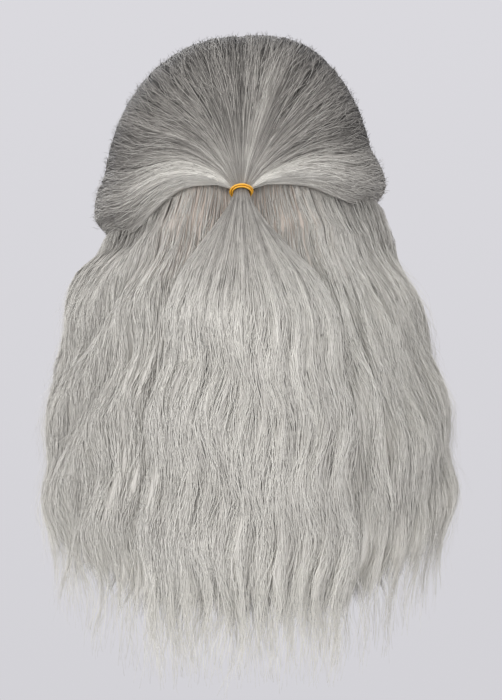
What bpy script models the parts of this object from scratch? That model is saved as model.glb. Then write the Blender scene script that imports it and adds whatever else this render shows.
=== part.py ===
"""A long grey wig in a half-up style: a net cap, hair swept back to an elastic tie, a ponytail and loose hair.

Metres, +Z up. The wearer faces -Y, and +X is the wearer's left. The origin is the inside of the cap's
crown, where the top of the head touches it.
"""

import math
from collections import namedtuple

import bpy
from mathutils import Vector

# The head that the cap is made for
HEAD_WIDTH = 0.154
HEAD_LENGTH = 0.196
HEAD_RISE = 0.095
# Net cap
CAP_WALL = 0.0015
LACE_MARGIN = 0.004
# Gap between a hair piece and what it lies on
SEAT_GAP = 0.0008
# Depth of the swept hair over the crown, at its sides and at its front edge
TOP_HAIR = 0.020
SIDE_HAIR = 0.018
HAIRLINE_HAIR = 0.0025
HAIRLINE_RISE = 0.035
# Depth of the loose hair where it is tucked under the swept hair, and how far it reaches under it
UNDER_HAIR = 0.005
UNDERLAP = 0.010
# Elastic tie at the back of the head
TIE_DROP = 0.0915
TIE_STAND_OFF = 0.0165
TIE_TURNS = 3
TIE_STRAND = 0.0012
TIE_PITCH = 0.0009
FALL_ANGLE = math.radians(53)
BUNDLE_RADIUS = 0.0048
BUNDLE_GAP = 0.0003
# Where the lowest swept hair runs, as its lean from straight up at the tie
LEAN_AT_TIE = math.radians(79)
LEAN_LEFT = math.radians(104)
LEAN_RIGHT = math.radians(92)
# Loose hair: its drop below the tie's level, its depth at the sides, back and front, and the hem's rise
HAIR_DROP = 0.3235
LOOSE_SIDE = 0.038
LOOSE_BACK = 0.041
LOOSE_FRONT = 0.025
LOOSE_SWAY = 0.005
HEM_RISE = 0.085
SECTION_GAP = 0.0014
# Ponytail: half its spread, its depth and how far its ends stay above the lowest hem
PONYTAIL_SPREAD = 0.074
PONYTAIL_DEPTH = 0.027
PONYTAIL_SHORT = 0.008
# Locks
CROWN_LOCKS = 26
BACK_LOCKS = 10
SIDE_LOCKS = 10
PONYTAIL_LOCKS = 11
LOCK_HEIGHT = 0.0034
CROWN_LOCK_HEIGHT = 0.0016
LOCK_TIP = 0.020
WAVE_LENGTH = 0.074
WAVE_HEIGHT = 0.0030
END_DEPTH = 0.005

CROWN_ROWS = 12
GATHER_ROWS = 4
GROWTH_ROWS = 3
LOOSE_ROWS = 14
PONYTAIL_ROWS = 17
CAP_RINGS = 10
CAP_SIDES = 36
TIE_POINTS = 14

Edge = namedtuple("Edge", "turn rise")
Crown = namedtuple("Crown", "lean left right")
Section = namedtuple("Section", "drop sway side_room back_room front_room side_hair back_hair front_hair")
Tail = namedtuple("Tail", "drop left right depth")

# Cap's edge, from the nape to the forehead: degrees round the head from the back, degrees above its
# widest level. It runs under the ear between 60 and 104 degrees.
CAP_EDGE = (
    Edge(turn=0, rise=-47),
    Edge(turn=30, rise=-43),
    Edge(turn=60, rise=-29),
    Edge(turn=80, rise=-16),
    Edge(turn=94, rise=-15),
    Edge(turn=106, rise=-20),
    Edge(turn=116, rise=-7),
    Edge(turn=132, rise=9),
    Edge(turn=152, rise=26),
    Edge(turn=180, rise=30),
)

# Depth of the swept hair from the top of the head to its sides, against TOP_HAIR and SIDE_HAIR
CROWN_DEPTHS = (
    Crown(lean=0, left=1.00, right=1.00),
    Crown(lean=25, left=1.08, right=1.28),
    Crown(lean=45, left=1.08, right=1.14),
    Crown(lean=70, left=0.97, right=0.86),
    Crown(lean=90, left=0.94, right=0.84),
    Crown(lean=110, left=0.94, right=0.84),
)

# Loose hair by its drop: how far it sways to the right against LOOSE_SWAY, how far its inside is out
# against half the head's width and length, and its depth from there against LOOSE_SIDE, LOOSE_BACK and
# LOOSE_FRONT.
SECTIONS = (
    Section(
        drop=0.00, sway=0.0, side_room=1.00, back_room=1.00, front_room=1.00,
        side_hair=0.50, back_hair=0.27, front_hair=0.30,
    ),
    Section(
        drop=0.08, sway=0.0, side_room=0.97, back_room=0.96, front_room=0.90,
        side_hair=0.66, back_hair=0.37, front_hair=0.60,
    ),
    Section(
        drop=0.18, sway=0.0, side_room=1.08, back_room=0.82, front_room=0.76,
        side_hair=0.91, back_hair=0.71, front_hair=0.90,
    ),
    Section(
        drop=0.30, sway=0.5, side_room=1.16, back_room=0.73, front_room=0.76,
        side_hair=0.98, back_hair=0.98, front_hair=1.00,
    ),
    Section(
        drop=0.45, sway=1.0, side_room=1.27, back_room=0.79, front_room=0.82,
        side_hair=1.02, back_hair=0.93, front_hair=1.05,
    ),
    Section(
        drop=0.60, sway=1.0, side_room=1.35, back_room=0.84, front_room=0.88,
        side_hair=1.00, back_hair=0.83, front_hair=1.00,
    ),
    Section(
        drop=0.75, sway=0.8, side_room=1.36, back_room=0.86, front_room=0.90,
        side_hair=0.98, back_hair=0.74, front_hair=0.85,
    ),
    Section(
        drop=1.00, sway=0.0, side_room=1.32, back_room=0.84, front_room=0.88,
        side_hair=0.86, back_hair=0.60, front_hair=0.60,
    ),
)

# Hem by degrees round the head: how far it rises, against HEM_RISE
HEM = (
    Edge(turn=0, rise=0.00),
    Edge(turn=30, rise=0.06),
    Edge(turn=45, rise=0.26),
    Edge(turn=60, rise=0.44),
    Edge(turn=85, rise=0.70),
    Edge(turn=130, rise=1.00),
)

# Ponytail by its drop from the tie: how far it spreads to each side against PONYTAIL_SPREAD, and its
# depth against PONYTAIL_DEPTH.
TAIL = (
    Tail(drop=0.00, left=0.10, right=0.10, depth=0.50),
    Tail(drop=0.06, left=0.20, right=0.20, depth=0.66),
    Tail(drop=0.09, left=0.31, right=0.33, depth=0.76),
    Tail(drop=0.13, left=0.46, right=0.51, depth=0.88),
    Tail(drop=0.17, left=0.55, right=0.68, depth=0.96),
    Tail(drop=0.25, left=0.65, right=0.84, depth=1.00),
    Tail(drop=0.35, left=0.73, right=0.92, depth=1.00),
    Tail(drop=0.50, left=0.82, right=0.97, depth=0.90),
    Tail(drop=0.75, left=0.90, right=1.00, depth=0.74),
    Tail(drop=1.00, left=0.80, right=0.86, depth=0.46),
)

LOOSE_FRONT_TURN = math.radians(128)
LOOSE_TOP_REACH = math.radians(97)
EAR_TURN = math.radians(104)
REACH_AT_GATHER = math.radians(20)
REACH_AT_TIE = math.radians(7)
REACH_OF_TIE_LEAN = math.radians(12)
REACH_OF_FULL_LEAN = math.radians(55)
GROWTH_DROP = 0.026
GROWTH_DROP_SIDE = 0.024
TAIL_MARGIN = 0.004
TIE_CLEARANCE = 0.011
EDGE_LIFT = 1.8
FLAT_TOP_REACH = math.radians(25)
TOP_TUCK = 0.006
# Lower edge of the swept hair: its depth there against the full depth, and the share over which it thins
EDGE_DEPTH = 0.40
EDGE_SHARE = 0.10
GATHER_LENGTH = 0.012
NECK_LENGTH = 0.003
NECK_FLARE = 0.8
TUCK_START = 0.74
TUCK_FULL = 0.88
TUCK_RISE = 0.012
TAPER_START = 0.74
PONYTAIL_BLEND = 0.17
HAIR = (0.42, 0.41, 0.39, 1.0)
DARK_HAIR = (0.22, 0.21, 0.20, 1.0)


def smooth(value):
    """0 below 0, 1 above 1 and an even S between them."""
    held = min(max(value, 0.0), 1.0)
    return held * held * (3 - 2 * held)


def mix(first, second, share):
    return first + (second - first) * share


def read(rows, column, at):
    """A column's value at a place between a table's rows, on the smooth curve through them."""
    places = [row[0] for row in rows]
    values = [getattr(row, column) for row in rows]
    held = min(max(at, places[0]), places[-1])
    low = max(k for k in range(len(rows) - 1) if places[k] <= held)
    high = low + 1
    before = max(low - 1, 0)
    after = min(high + 1, len(rows) - 1)
    span = places[high] - places[low]
    slope_low = (values[high] - values[before]) / (places[high] - places[before]) * span
    slope_high = (values[after] - values[low]) / (places[after] - places[low]) * span
    t = (held - places[low]) / span
    return (
        values[low] * (2 * t**3 - 3 * t**2 + 1)
        + slope_low * (t**3 - 2 * t**2 + t)
        + values[high] * (3 * t**2 - 2 * t**3)
        + slope_high * (t**3 - t**2)
    )


def clear_scene():
    for item in list(bpy.data.objects):
        bpy.data.objects.remove(item, do_unlink=True)


def hair_material(name, colour, roughness):
    material = bpy.data.materials.new(name)
    material.use_nodes = True
    shader = material.node_tree.nodes["Principled BSDF"]
    shader.inputs["Base Color"].default_value = colour
    shader.inputs["Roughness"].default_value = roughness
    shader.inputs["Metallic"].default_value = 0.0
    material.diffuse_color = colour
    return material


def object_from(name, points, faces, material, collection):
    mesh = bpy.data.meshes.new(name)
    mesh.from_pydata([tuple(point) for point in points], [], faces)
    mesh.materials.append(material)
    made = bpy.data.objects.new(name, mesh)
    collection.objects.link(made)
    mesh.shade_smooth()
    mesh.set_sharp_from_angle(angle=math.radians(60))
    return made


def loft(name, outer, inner, material, collection):
    """A closed body between two grids of points with the same rows and columns: a skin on each, and an
    edge strip round them. Seen from outside, rows run down and columns run from left to right. The side
    strips are split the same way on both sides, so that neighbours cut from one sheet stay apart."""
    rows = len(outer)
    columns = len(outer[0])
    points = [point for row in outer for point in row] + [point for row in inner for point in row]
    under = rows * columns
    faces = []

    def at(row, column):
        return row * columns + column

    for row in range(rows - 1):
        for column in range(columns - 1):
            corners = [at(row, column), at(row, column + 1), at(row + 1, column + 1), at(row + 1, column)]
            faces.append(corners[::-1])
            faces.append([under + corner for corner in corners])
    last = columns - 1
    for row in range(rows - 1):
        high, low = at(row, 0), at(row + 1, 0)
        faces += [[low, high, under + low], [high, under + high, under + low]]
        high, low = at(row, last), at(row + 1, last)
        faces += [[high, low, under + low], [high, under + low, under + high]]
    for column in range(last):
        left, right = at(0, column), at(0, column + 1)
        faces.append([left, right, under + right, under + left])
        left, right = at(rows - 1, column), at(rows - 1, column + 1)
        faces.append([right, left, under + left, under + right])
    return object_from(name, points, faces, material, collection)


# The head


def on_head(direction, lift):
    """The point of the head that lies in a direction from its centre, moved out by a lift."""
    return Vector(
        (
            direction.x * (HEAD_WIDTH / 2 + lift),
            direction.y * (HEAD_LENGTH / 2 + lift),
            direction.z * (HEAD_RISE + lift) - HEAD_RISE,
        )
    )


def direction_at(turn, rise):
    """Direction from the head's centre: turn is round it from the back, rise above its widest level."""
    return Vector((math.sin(turn) * math.cos(rise), math.cos(turn) * math.cos(rise), math.sin(rise)))


def cap_edge_rise(turn):
    return math.radians(read(CAP_EDGE, "rise", abs(math.degrees(turn))))


def tie_direction():
    return direction_at(0, math.asin((HEAD_RISE - TIE_DROP) / HEAD_RISE))


def swept_direction(lean, reach):
    """Direction at an angle from the tie, the reach, and leaning round the tie from straight up."""
    tie = tie_direction()
    up = Vector((0, -tie.z, tie.y))
    away = up * math.cos(lean) + Vector((1, 0, 0)) * math.sin(lean)
    return tie * math.cos(reach) + away * math.sin(reach)


def edge_lean(side, reach):
    """Lean of the lowest swept hair: level at the tie, sagging away from it. side is 1 on the left."""
    far = LEAN_LEFT if side > 0 else LEAN_RIGHT
    sagged = smooth((reach - REACH_OF_TIE_LEAN) / (REACH_OF_FULL_LEAN - REACH_OF_TIE_LEAN))
    return side * mix(LEAN_AT_TIE, far, sagged)


def hairline_reach(share):
    """Reach at which swept hair of this share of the edge's lean starts, just behind the cap's edge."""
    side = 1 if share >= 0 else -1
    low = REACH_AT_GATHER
    high = math.radians(175)
    for _ in range(30):
        middle = (low + high) / 2
        direction = swept_direction(abs(share) * edge_lean(side, middle), middle)
        turn = math.atan2(direction.x, direction.y)
        margin = LACE_MARGIN / HEAD_RISE
        inside = math.asin(direction.z) > cap_edge_rise(turn) + margin
        before_ear = math.cos(turn) > math.cos(EAR_TURN)
        if inside or before_ear:
            low = middle
        else:
            high = middle
    return low


# The tie


def tie_centre():
    return on_head(tie_direction(), CAP_WALL + TIE_STAND_OFF)


def fall_direction():
    """The way the bundle runs through the tie: back from the head and down."""
    return Vector((0, math.cos(FALL_ANGLE), -math.sin(FALL_ANGLE)))


def bundle_point(angle, radius, along):
    """A point round the bundle's axis, angle 0 on its upper side, at a distance along it from the tie."""
    fall = fall_direction()
    upper = Vector((0, -fall.z, fall.y))
    spoke = upper * math.cos(angle) + Vector((1, 0, 0)) * math.sin(angle)
    return tie_centre() + fall * along + spoke * radius


def neck_radius(along):
    """The bundle's radius at a distance along it from the tie: even within the tie and wider past it."""
    return BUNDLE_RADIUS * (1 + NECK_FLARE * smooth((abs(along) - NECK_LENGTH) / GATHER_LENGTH))


# Swept hair


def crown_depth(lean, reach, start):
    """Depth of the swept hair: thin at the hairline, full over the head and flatter near the tie."""
    degrees = abs(math.degrees(lean))
    side = "left" if lean > 0 else "right"
    full = mix(TOP_HAIR, SIDE_HAIR, smooth(degrees / 90)) * read(CROWN_DEPTHS, side, degrees)
    from_hairline = (start - reach) * HEAD_RISE
    depth = mix(HAIRLINE_HAIR, full, smooth(from_hairline / HAIRLINE_RISE))
    return mix(depth, TIE_STAND_OFF * 0.8, smooth(1 - (reach - REACH_AT_GATHER) / math.radians(40)))


def crown_points(share, ridge):
    """The outer and the inner point of one column of the swept hair, row by row from the hairline."""
    side = 1 if share >= 0 else -1
    start = hairline_reach(share)
    outer = []
    inner = []
    under = CAP_WALL + SEAT_GAP
    tuck = smooth((abs(share) - TUCK_START) / (TUCK_FULL - TUCK_START)) * (UNDER_HAIR + SEAT_GAP)
    rows = CROWN_ROWS + GATHER_ROWS
    for row in range(rows + 1):
        on_scalp = min(row / CROWN_ROWS, 1.0)
        gather = max(row - CROWN_ROWS, 0) / GATHER_ROWS
        reach = mix(mix(start, REACH_AT_GATHER, on_scalp), REACH_AT_TIE, gather)
        lean = abs(share) * edge_lean(side, reach)
        direction = swept_direction(lean, reach)
        from_hairline = smooth((start - reach) * HEAD_RISE / HAIRLINE_RISE)
        lock = ridge * CROWN_LOCK_HEIGHT * from_hairline * (1 - smooth(gather * 1.2))
        depth = (crown_depth(lean, reach, start) + lock) * mix(EDGE_DEPTH, 1, smooth((1 - abs(share)) / EDGE_SHARE))
        lift = under + tuck * smooth((start - reach) * HEAD_RISE / TUCK_RISE)
        low = on_head(direction, lift)
        high = on_head(direction, lift + depth)
        along = -mix(GATHER_LENGTH, BUNDLE_GAP / 2, gather)
        radius = neck_radius(along)
        round_tie = side * (math.pi - (math.pi - abs(lean)) * abs(share))
        eased = smooth(gather)
        outer.append(high.lerp(bundle_point(lean, radius, along), eased))
        inner.append(low.lerp(bundle_point(round_tie, radius, along), eased))
    return outer, inner


def ridge_of(column):
    """Odd columns are the crests of locks and even ones the valleys, with uneven crests."""
    if column % 2 == 0:
        return -0.5
    return 0.40 + 0.28 * math.sin(1.9 * column) + 0.12 * math.sin(4.3 * column + 1.0)


def make_crown(material, collection):
    columns = 2 * CROWN_LOCKS
    pairs = []
    for column in range(columns + 1):
        share = 1 - 2 * column / columns
        ridge = ridge_of(column) if 0 < column < columns else 0.0
        pairs.append(crown_points(share, ridge))
    outer = [list(row) for row in zip(*(pair[0] for pair in pairs))]
    inner = [list(row) for row in zip(*(pair[1] for pair in pairs))]
    return loft("swept_crown_hair", outer, inner, material, collection)


# Loose hair


def level_of(drop):
    """Height at a share of the drop from the head's widest level to the lowest hem."""
    return -HEAD_RISE - drop * hang()


def hang():
    return TIE_DROP + HAIR_DROP - HEAD_RISE


def cap_share(height, lift):
    """The cap's width at a height against its widest, 0 below it."""
    below = (height + HEAD_RISE) / (HEAD_RISE + lift)
    return math.sqrt(max(1 - below * below, 0.0))


def loose_axes(height):
    """Half-axes of the loose hair's inside and outside at a height, each as side, back and front. Both
    stay off the cap."""
    drop = (-HEAD_RISE - height) / hang()
    lift = CAP_WALL + SEAT_GAP
    on_cap = cap_share(height, lift)
    inside = []
    outside = []
    for name, head, hair in (
        ("side", HEAD_WIDTH / 2, LOOSE_SIDE),
        ("back", HEAD_LENGTH / 2, LOOSE_BACK),
        ("front", HEAD_LENGTH / 2, LOOSE_FRONT),
    ):
        room = read(SECTIONS, name + "_room", drop) * head
        cap = on_cap * (head + lift)
        inside.append(max(room, cap))
        outside.append(max(room, cap) + read(SECTIONS, name + "_hair", drop) * hair)
    return inside, outside


def sway(height):
    return -LOOSE_SWAY * read(SECTIONS, "sway", (-HEAD_RISE - height) / hang())


def growth_drop(turn):
    """The height in which the loose hair fills out, less at the sides than behind the ponytail."""
    aside = smooth((abs(math.degrees(turn)) - 40) / 40)
    return mix(GROWTH_DROP, GROWTH_DROP_SIDE, aside)


def growth(below, full_drop):
    """How far the loose hair has filled out at a distance below the swept hair's edge: it follows an
    even S, straight between the rows that the loose hair has there."""
    step = min(max(below / full_drop, 0.0), 1.0) * GROWTH_ROWS
    low = min(int(step), GROWTH_ROWS - 1)
    return mix(smooth(low / GROWTH_ROWS), smooth((low + 1) / GROWTH_ROWS), step - low)


def filled_axes(height, filled):
    """Half-axes of the loose hair's outside at a height, from UNDER_HAIR thick to its full depth."""
    inside, outside = loose_axes(height)
    return [mix(low + UNDER_HAIR, full, filled) for low, full in zip(inside, outside)]


def around(turn, axes, out, sideways):
    """The point at an angle round a section, moved out from it and along it."""
    side, back, front = axes
    deep = back if math.cos(turn) > 0 else front
    point = Vector((side * math.sin(turn), deep * math.cos(turn), 0))
    normal = Vector((math.sin(turn) / side, math.cos(turn) / deep, 0)).normalized()
    return point + normal * out + Vector((normal.y, -normal.x, 0)) * sideways


def loose_start(share):
    """Where a column of loose hair starts, tucked under the edge of the swept hair: its turn and height,
    and the height of the swept hair's edge there."""
    side = 1 if share >= 0 else -1
    reach = max(abs(share), 0.001) * LOOSE_TOP_REACH
    lift = CAP_WALL + SEAT_GAP + UNDER_HAIR
    edge = on_head(swept_direction(edge_lean(side, reach), reach), lift)
    turn = math.atan2(edge.x / (HEAD_WIDTH / 2 + lift), edge.y / (HEAD_LENGTH / 2 + lift))
    aside = smooth(reach / FLAT_TOP_REACH)
    highest = tie_centre().z - TIE_CLEARANCE * (1 - EDGE_LIFT * aside)
    edge_height = min(edge.z - SEAT_GAP, highest)
    tucked = edge_height + mix(TOP_TUCK, UNDERLAP, smooth(reach / FLAT_TOP_REACH - 1))
    return turn, tucked, edge_height


def hem_height(turn):
    return level_of(1.0) + HEM_RISE * read(HEM, "rise", abs(math.degrees(turn)))


def loose_points(share, ridge):
    """The outer and the inner point of one column of the loose hair, row by row from the top. It is
    smooth where the ponytail lies on it."""
    turn_top, top, edge_height = loose_start(share)
    turn_low = share * LOOSE_FRONT_TURN
    bottom = hem_height(turn_low) + LOCK_TIP * (0.5 - ridge)
    phase = 3.1 * math.sin(2.3 * share * math.pi) + 0.8 * ridge
    outer = []
    inner = []
    full_drop = growth_drop(turn_top)
    filled_height = edge_height - full_drop
    heights = [top]
    heights += [edge_height - full_drop * row / GROWTH_ROWS for row in range(GROWTH_ROWS)]
    heights += [mix(filled_height, bottom, (row / LOOSE_ROWS) ** 1.1) for row in range(LOOSE_ROWS + 1)]
    for height in heights:
        below = edge_height - height
        along = below / (edge_height - bottom)
        turn = mix(turn_top, turn_low, smooth(below / (0.55 * hang())))
        filled = growth(below, full_drop)
        wave = math.sin(2 * math.pi * below / WAVE_LENGTH + phase) * smooth(below / 0.06)
        place = around(turn, filled_axes(height, filled), 0.0, 0.0)
        free = filled * (1 - covered_by_ponytail(place.x, height))
        out = free * (ridge * LOCK_HEIGHT + wave * WAVE_HEIGHT)
        sideways = free * wave * WAVE_HEIGHT * 0.6
        high = around(turn, filled_axes(height, filled), out, sideways)
        low = around(turn, loose_axes(height)[0], 0.0, sideways)
        for point in (high, low):
            point.x += sway(height)
            point.z = height
        thin = smooth((along - TAPER_START) / (1 - TAPER_START))
        kept = mix(1.0, min(END_DEPTH / (high - low).length, 1.0), thin)
        middle = low.lerp(high, mix(0.5, 0.82, thin))
        outer.append(middle.lerp(high, kept))
        inner.append(middle.lerp(low, kept))
    return outer, inner


def covered_by_ponytail(x, height):
    """1 behind the ponytail, fading to 0 at the loose hair beside it."""
    drop = (tie_centre().z - height) / HAIR_DROP
    return 1 - smooth((abs(x) - tail_spread(x, drop) - TAIL_MARGIN) / (2 * TAIL_MARGIN))


def make_loose(name, first, last, locks, seed, material, collection):
    """Loose hair between two shares of the way round to the left front edge, 1, and the right one, -1."""
    columns = 2 * locks
    half_gap = SECTION_GAP / (LOOSE_FRONT_TURN * HEAD_WIDTH)
    first -= half_gap
    last += half_gap
    pairs = []
    for column in range(columns + 1):
        share = mix(first, last, column / columns)
        ridge = ridge_of(column + seed)
        pairs.append(loose_points(share, ridge))
    outer = [list(row) for row in zip(*(pair[0] for pair in pairs))]
    inner = [list(row) for row in zip(*(pair[1] for pair in pairs))]
    return loft(name, outer, inner, material, collection)


# Ponytail


def tail_spread(side, drop):
    return PONYTAIL_SPREAD * read(TAIL, "left" if side > 0 else "right", drop)


def tail_bed(x, height):
    """How far back the loose hair reaches at a place behind the ponytail."""
    edge = loose_start(math.asin(min(abs(x) / HEAD_WIDTH, 1.0)) / LOOSE_TOP_REACH)[2]
    side, back, _ = filled_axes(height, growth(edge - height, GROWTH_DROP))
    return back * math.sqrt(max(1 - ((x - sway(height)) / side) ** 2, 0.0))


def ponytail_points(share, ridge):
    """The outer and the inner point of one column of the ponytail, row by row from the tie."""
    centre = tie_centre()
    bottom = hem_height(0) + PONYTAIL_SHORT + LOCK_TIP * (0.5 - ridge)
    upper_half = math.radians(100)
    outer = []
    inner = []
    phase = 2.2 * math.sin(2.0 * share) + 0.8 * ridge
    for row in range(PONYTAIL_ROWS + 1):
        along = (row / PONYTAIL_ROWS) ** 1.25
        height = mix(centre.z - TIE_STRAND, bottom, along)
        drop = (centre.z - height) / (centre.z - hem_height(0))
        spread = tail_spread(share, drop)
        depth = PONYTAIL_DEPTH * read(TAIL, "depth", drop) * math.sqrt(max(1 - 0.93 * share * share, 0.0))
        fall = centre.z - height
        wave = math.sin(2 * math.pi * fall / WAVE_LENGTH + phase) * smooth((fall - 0.05) / 0.06)
        x = spread * share + wave * WAVE_HEIGHT * 0.6
        bed = tail_bed(x, height) + 2 * SEAT_GAP
        thin = smooth((along - TAPER_START) / (1 - TAPER_START))
        out = ridge * LOCK_HEIGHT * smooth(fall / 0.05) + (wave * WAVE_HEIGHT + WAVE_HEIGHT) * (1 - thin)
        depth = mix(depth, END_DEPTH, thin) + out * (1 - 0.6 * thin)
        low = Vector((x, bed, height))
        high = Vector((x, bed + max(depth, END_DEPTH * 0.6), height))
        joined = smooth(drop / PONYTAIL_BLEND)
        from_tie = BUNDLE_GAP / 2 + 0.16 * drop
        radius = neck_radius(from_tie)
        side = 1 if share >= 0 else -1
        round_tie = side * (math.pi - (math.pi - upper_half) * abs(share))
        outer.append(bundle_point(share * upper_half, radius, from_tie).lerp(high, joined))
        inner.append(bundle_point(round_tie, radius, from_tie).lerp(low, joined))
    return outer, inner


def make_ponytail(material, collection):
    columns = 2 * PONYTAIL_LOCKS
    pairs = []
    for column in range(columns + 1):
        share = 1 - 2 * column / columns
        ridge = ridge_of(column + 6)
        pairs.append(ponytail_points(share, ridge))
    outer = [list(row) for row in zip(*(pair[0] for pair in pairs))]
    inner = [list(row) for row in zip(*(pair[1] for pair in pairs))]
    return loft("ponytail", outer, inner, material, collection)


# Cap and tie pieces


def make_cap(material, collection):
    """An open dome of rings from the crown to the cap's edge, given its wall by Solidify."""
    points = [on_head(Vector((0, 0, 1)), 0.0)]
    faces = []
    for ring in range(1, CAP_RINGS + 1):
        for step in range(CAP_SIDES):
            turn = 2 * math.pi * step / CAP_SIDES
            signed = math.atan2(math.sin(turn), math.cos(turn))
            rise = mix(math.pi / 2, cap_edge_rise(signed), ring / CAP_RINGS)
            points.append(on_head(direction_at(turn, rise), 0.0))
    for step in range(CAP_SIDES):
        after = (step + 1) % CAP_SIDES
        faces.append([0, 1 + after, 1 + step])
        for ring in range(CAP_RINGS - 1):
            low = 1 + ring * CAP_SIDES
            high = low + CAP_SIDES
            faces.append([low + step, low + after, high + after, high + step])
    cap = object_from("net_cap", points, faces, material, collection)
    wall = cap.modifiers.new("Wall", "SOLIDIFY")
    wall.thickness = CAP_WALL
    wall.offset = 1.0
    wall.use_even_offset = True
    return cap


def make_tie(material, collection):
    """A closed rubber band wound TIE_TURNS times round the bundle, its turns lying round one another."""
    curve = bpy.data.curves.new("hair_tie", "CURVE")
    curve.dimensions = "3D"
    curve.bevel_depth = TIE_STRAND / 2
    curve.bevel_resolution = 1
    count = TIE_TURNS * TIE_POINTS
    spline = curve.splines.new("POLY")
    spline.points.add(count - 1)
    spline.use_cyclic_u = True
    middle = BUNDLE_RADIUS + BUNDLE_GAP + TIE_STRAND / 2 + TIE_PITCH
    middle /= math.cos(math.pi / TIE_POINTS)
    for index in range(count):
        angle = 2 * math.pi * index * TIE_TURNS / count
        twist = 2 * math.pi * index / count
        radius = middle + TIE_PITCH * math.cos(twist)
        point = bundle_point(angle, radius, TIE_PITCH * math.sin(twist))
        spline.points[index].co = (*point, 1.0)
    curve.materials.append(material)
    tie = bpy.data.objects.new("hair_tie", curve)
    collection.objects.link(tie)
    return tie


def main():
    clear_scene()
    wig = bpy.data.collections.new("half_up_wig")
    bpy.context.scene.collection.children.link(wig)
    dark_hair = hair_material("dark grey hair", DARK_HAIR, 0.5)
    grey_hair = hair_material("grey hair", HAIR, 0.5)
    net = hair_material("cap net", (0.42, 0.30, 0.22, 1.0), 0.8)
    rubber = hair_material("yellow rubber", (0.75, 0.40, 0.04, 1.0), 0.4)
    make_cap(net, wig)
    make_crown(dark_hair, wig)
    make_tie(rubber, wig)
    make_ponytail(grey_hair, wig)
    back_share = BACK_LOCKS / (BACK_LOCKS + 2 * SIDE_LOCKS)
    make_loose("left_loose_hair", 1.0, back_share, SIDE_LOCKS, 2, grey_hair, wig)
    make_loose("back_loose_hair", back_share, -back_share, BACK_LOCKS, 12, grey_hair, wig)
    make_loose("right_loose_hair", -back_share, -1.0, SIDE_LOCKS, 30, grey_hair, wig)


main()
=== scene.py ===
"""A long grey wig in a half-up style, dressed with masses of hair and the single strands that lie on them.

Each mass is a surface worked out from two numbers: a strand's share, which says where round the head it is
rooted, and its run, from 0 at the roots to 1 at the tips. The wearer faces -Y and the hair is seen from +Y.
"""

import math

import bpy
import numpy as np
from bpy.props import FloatProperty, FloatVectorProperty, IntProperty, PointerProperty
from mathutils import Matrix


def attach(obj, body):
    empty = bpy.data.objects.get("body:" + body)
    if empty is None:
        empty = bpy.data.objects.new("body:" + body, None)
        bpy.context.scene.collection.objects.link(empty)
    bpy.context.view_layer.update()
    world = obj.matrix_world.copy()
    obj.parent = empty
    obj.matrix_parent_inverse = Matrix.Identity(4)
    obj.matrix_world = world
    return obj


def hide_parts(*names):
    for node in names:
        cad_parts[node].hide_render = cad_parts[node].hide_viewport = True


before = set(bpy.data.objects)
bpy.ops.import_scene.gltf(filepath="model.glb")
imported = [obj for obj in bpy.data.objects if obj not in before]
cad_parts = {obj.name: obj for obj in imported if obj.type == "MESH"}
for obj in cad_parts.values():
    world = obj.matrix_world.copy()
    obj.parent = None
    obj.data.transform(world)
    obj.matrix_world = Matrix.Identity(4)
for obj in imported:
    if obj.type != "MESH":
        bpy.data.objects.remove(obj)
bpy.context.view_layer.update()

bl_info = {
    "name": "Half-up wig",
    "version": (1, 0, 0),
    "blender": (4, 5, 0),
    "location": "View3D > Sidebar > Wig",
    "description": "Dresses a half-up wig with masses and strands of hair",
    "category": "Add Mesh",
}

# The wig's sizes in metres, as its solids have them
HEAD = np.array((0.077, 0.098, 0.095))
CAP_WALL = 0.0015
SEAT_GAP = 0.0008
LACE_MARGIN = 0.004
TOP_HAIR = 0.020
SIDE_HAIR = 0.018
HAIRLINE_HAIR = 0.0025
HAIRLINE_RISE = 0.035
UNDER_HAIR = 0.005
UNDERLAP = 0.010
TUCK_START, TUCK_FULL, TUCK_RISE = 0.74, 0.88, 0.012
TIE_DROP = 0.0915
TIE_STAND_OFF = 0.0165
TIE_TURNS = 3
TIE_STRAND = 0.0012
TIE_PITCH = 0.0009
FALL_ANGLE = math.radians(53)
BUNDLE_RADIUS = 0.0048
BUNDLE_GAP = 0.0003
GATHER_LENGTH, NECK_LENGTH, NECK_FLARE = 0.012, 0.003, 0.8
LEAN_AT_TIE, LEAN_LEFT, LEAN_RIGHT = np.radians((79, 104, 92))
REACH_OF_TIE_LEAN, REACH_OF_FULL_LEAN = math.radians(12), math.radians(55)
REACH_AT_GATHER, REACH_AT_TIE = math.radians(20), math.radians(7)
EAR_TURN = math.radians(104)
HAIR_DROP = 0.3235
HANG = TIE_DROP + HAIR_DROP - HEAD[2]
LOOSE_DEPTHS = (("side", HEAD[0], 0.038), ("back", HEAD[1], 0.041), ("front", HEAD[1], 0.025))
LOOSE_SWAY = 0.005
LOOSE_FRONT_TURN = math.radians(128)
LOOSE_TOP_REACH = math.radians(97)
HEM_RISE = 0.085
TIE_CLEARANCE, EDGE_LIFT = 0.011, 1.8
FLAT_TOP_REACH = math.radians(25)
TOP_TUCK = 0.006
GROWTH_DROP, GROWTH_DROP_SIDE = 0.026, 0.024
TAIL_MARGIN = 0.004
TAPER_START = 0.74
END_DEPTH = 0.005
PONYTAIL_SPREAD = 0.074
PONYTAIL_DEPTH = 0.027
PONYTAIL_SHORT = 0.008
PONYTAIL_BLEND = 0.17
LOCK_HEIGHT = 0.0034
CROWN_LOCK_HEIGHT = 0.0016
EDGE_DEPTH, EDGE_SHARE = 0.40, 0.10
LOCK_TIP = 0.020
WAVE_LENGTH = 0.074
WAVE_HEIGHT = 0.0030
SECTION_GAP = 0.0014
BRIDGE_LEVEL = 0.35
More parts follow.
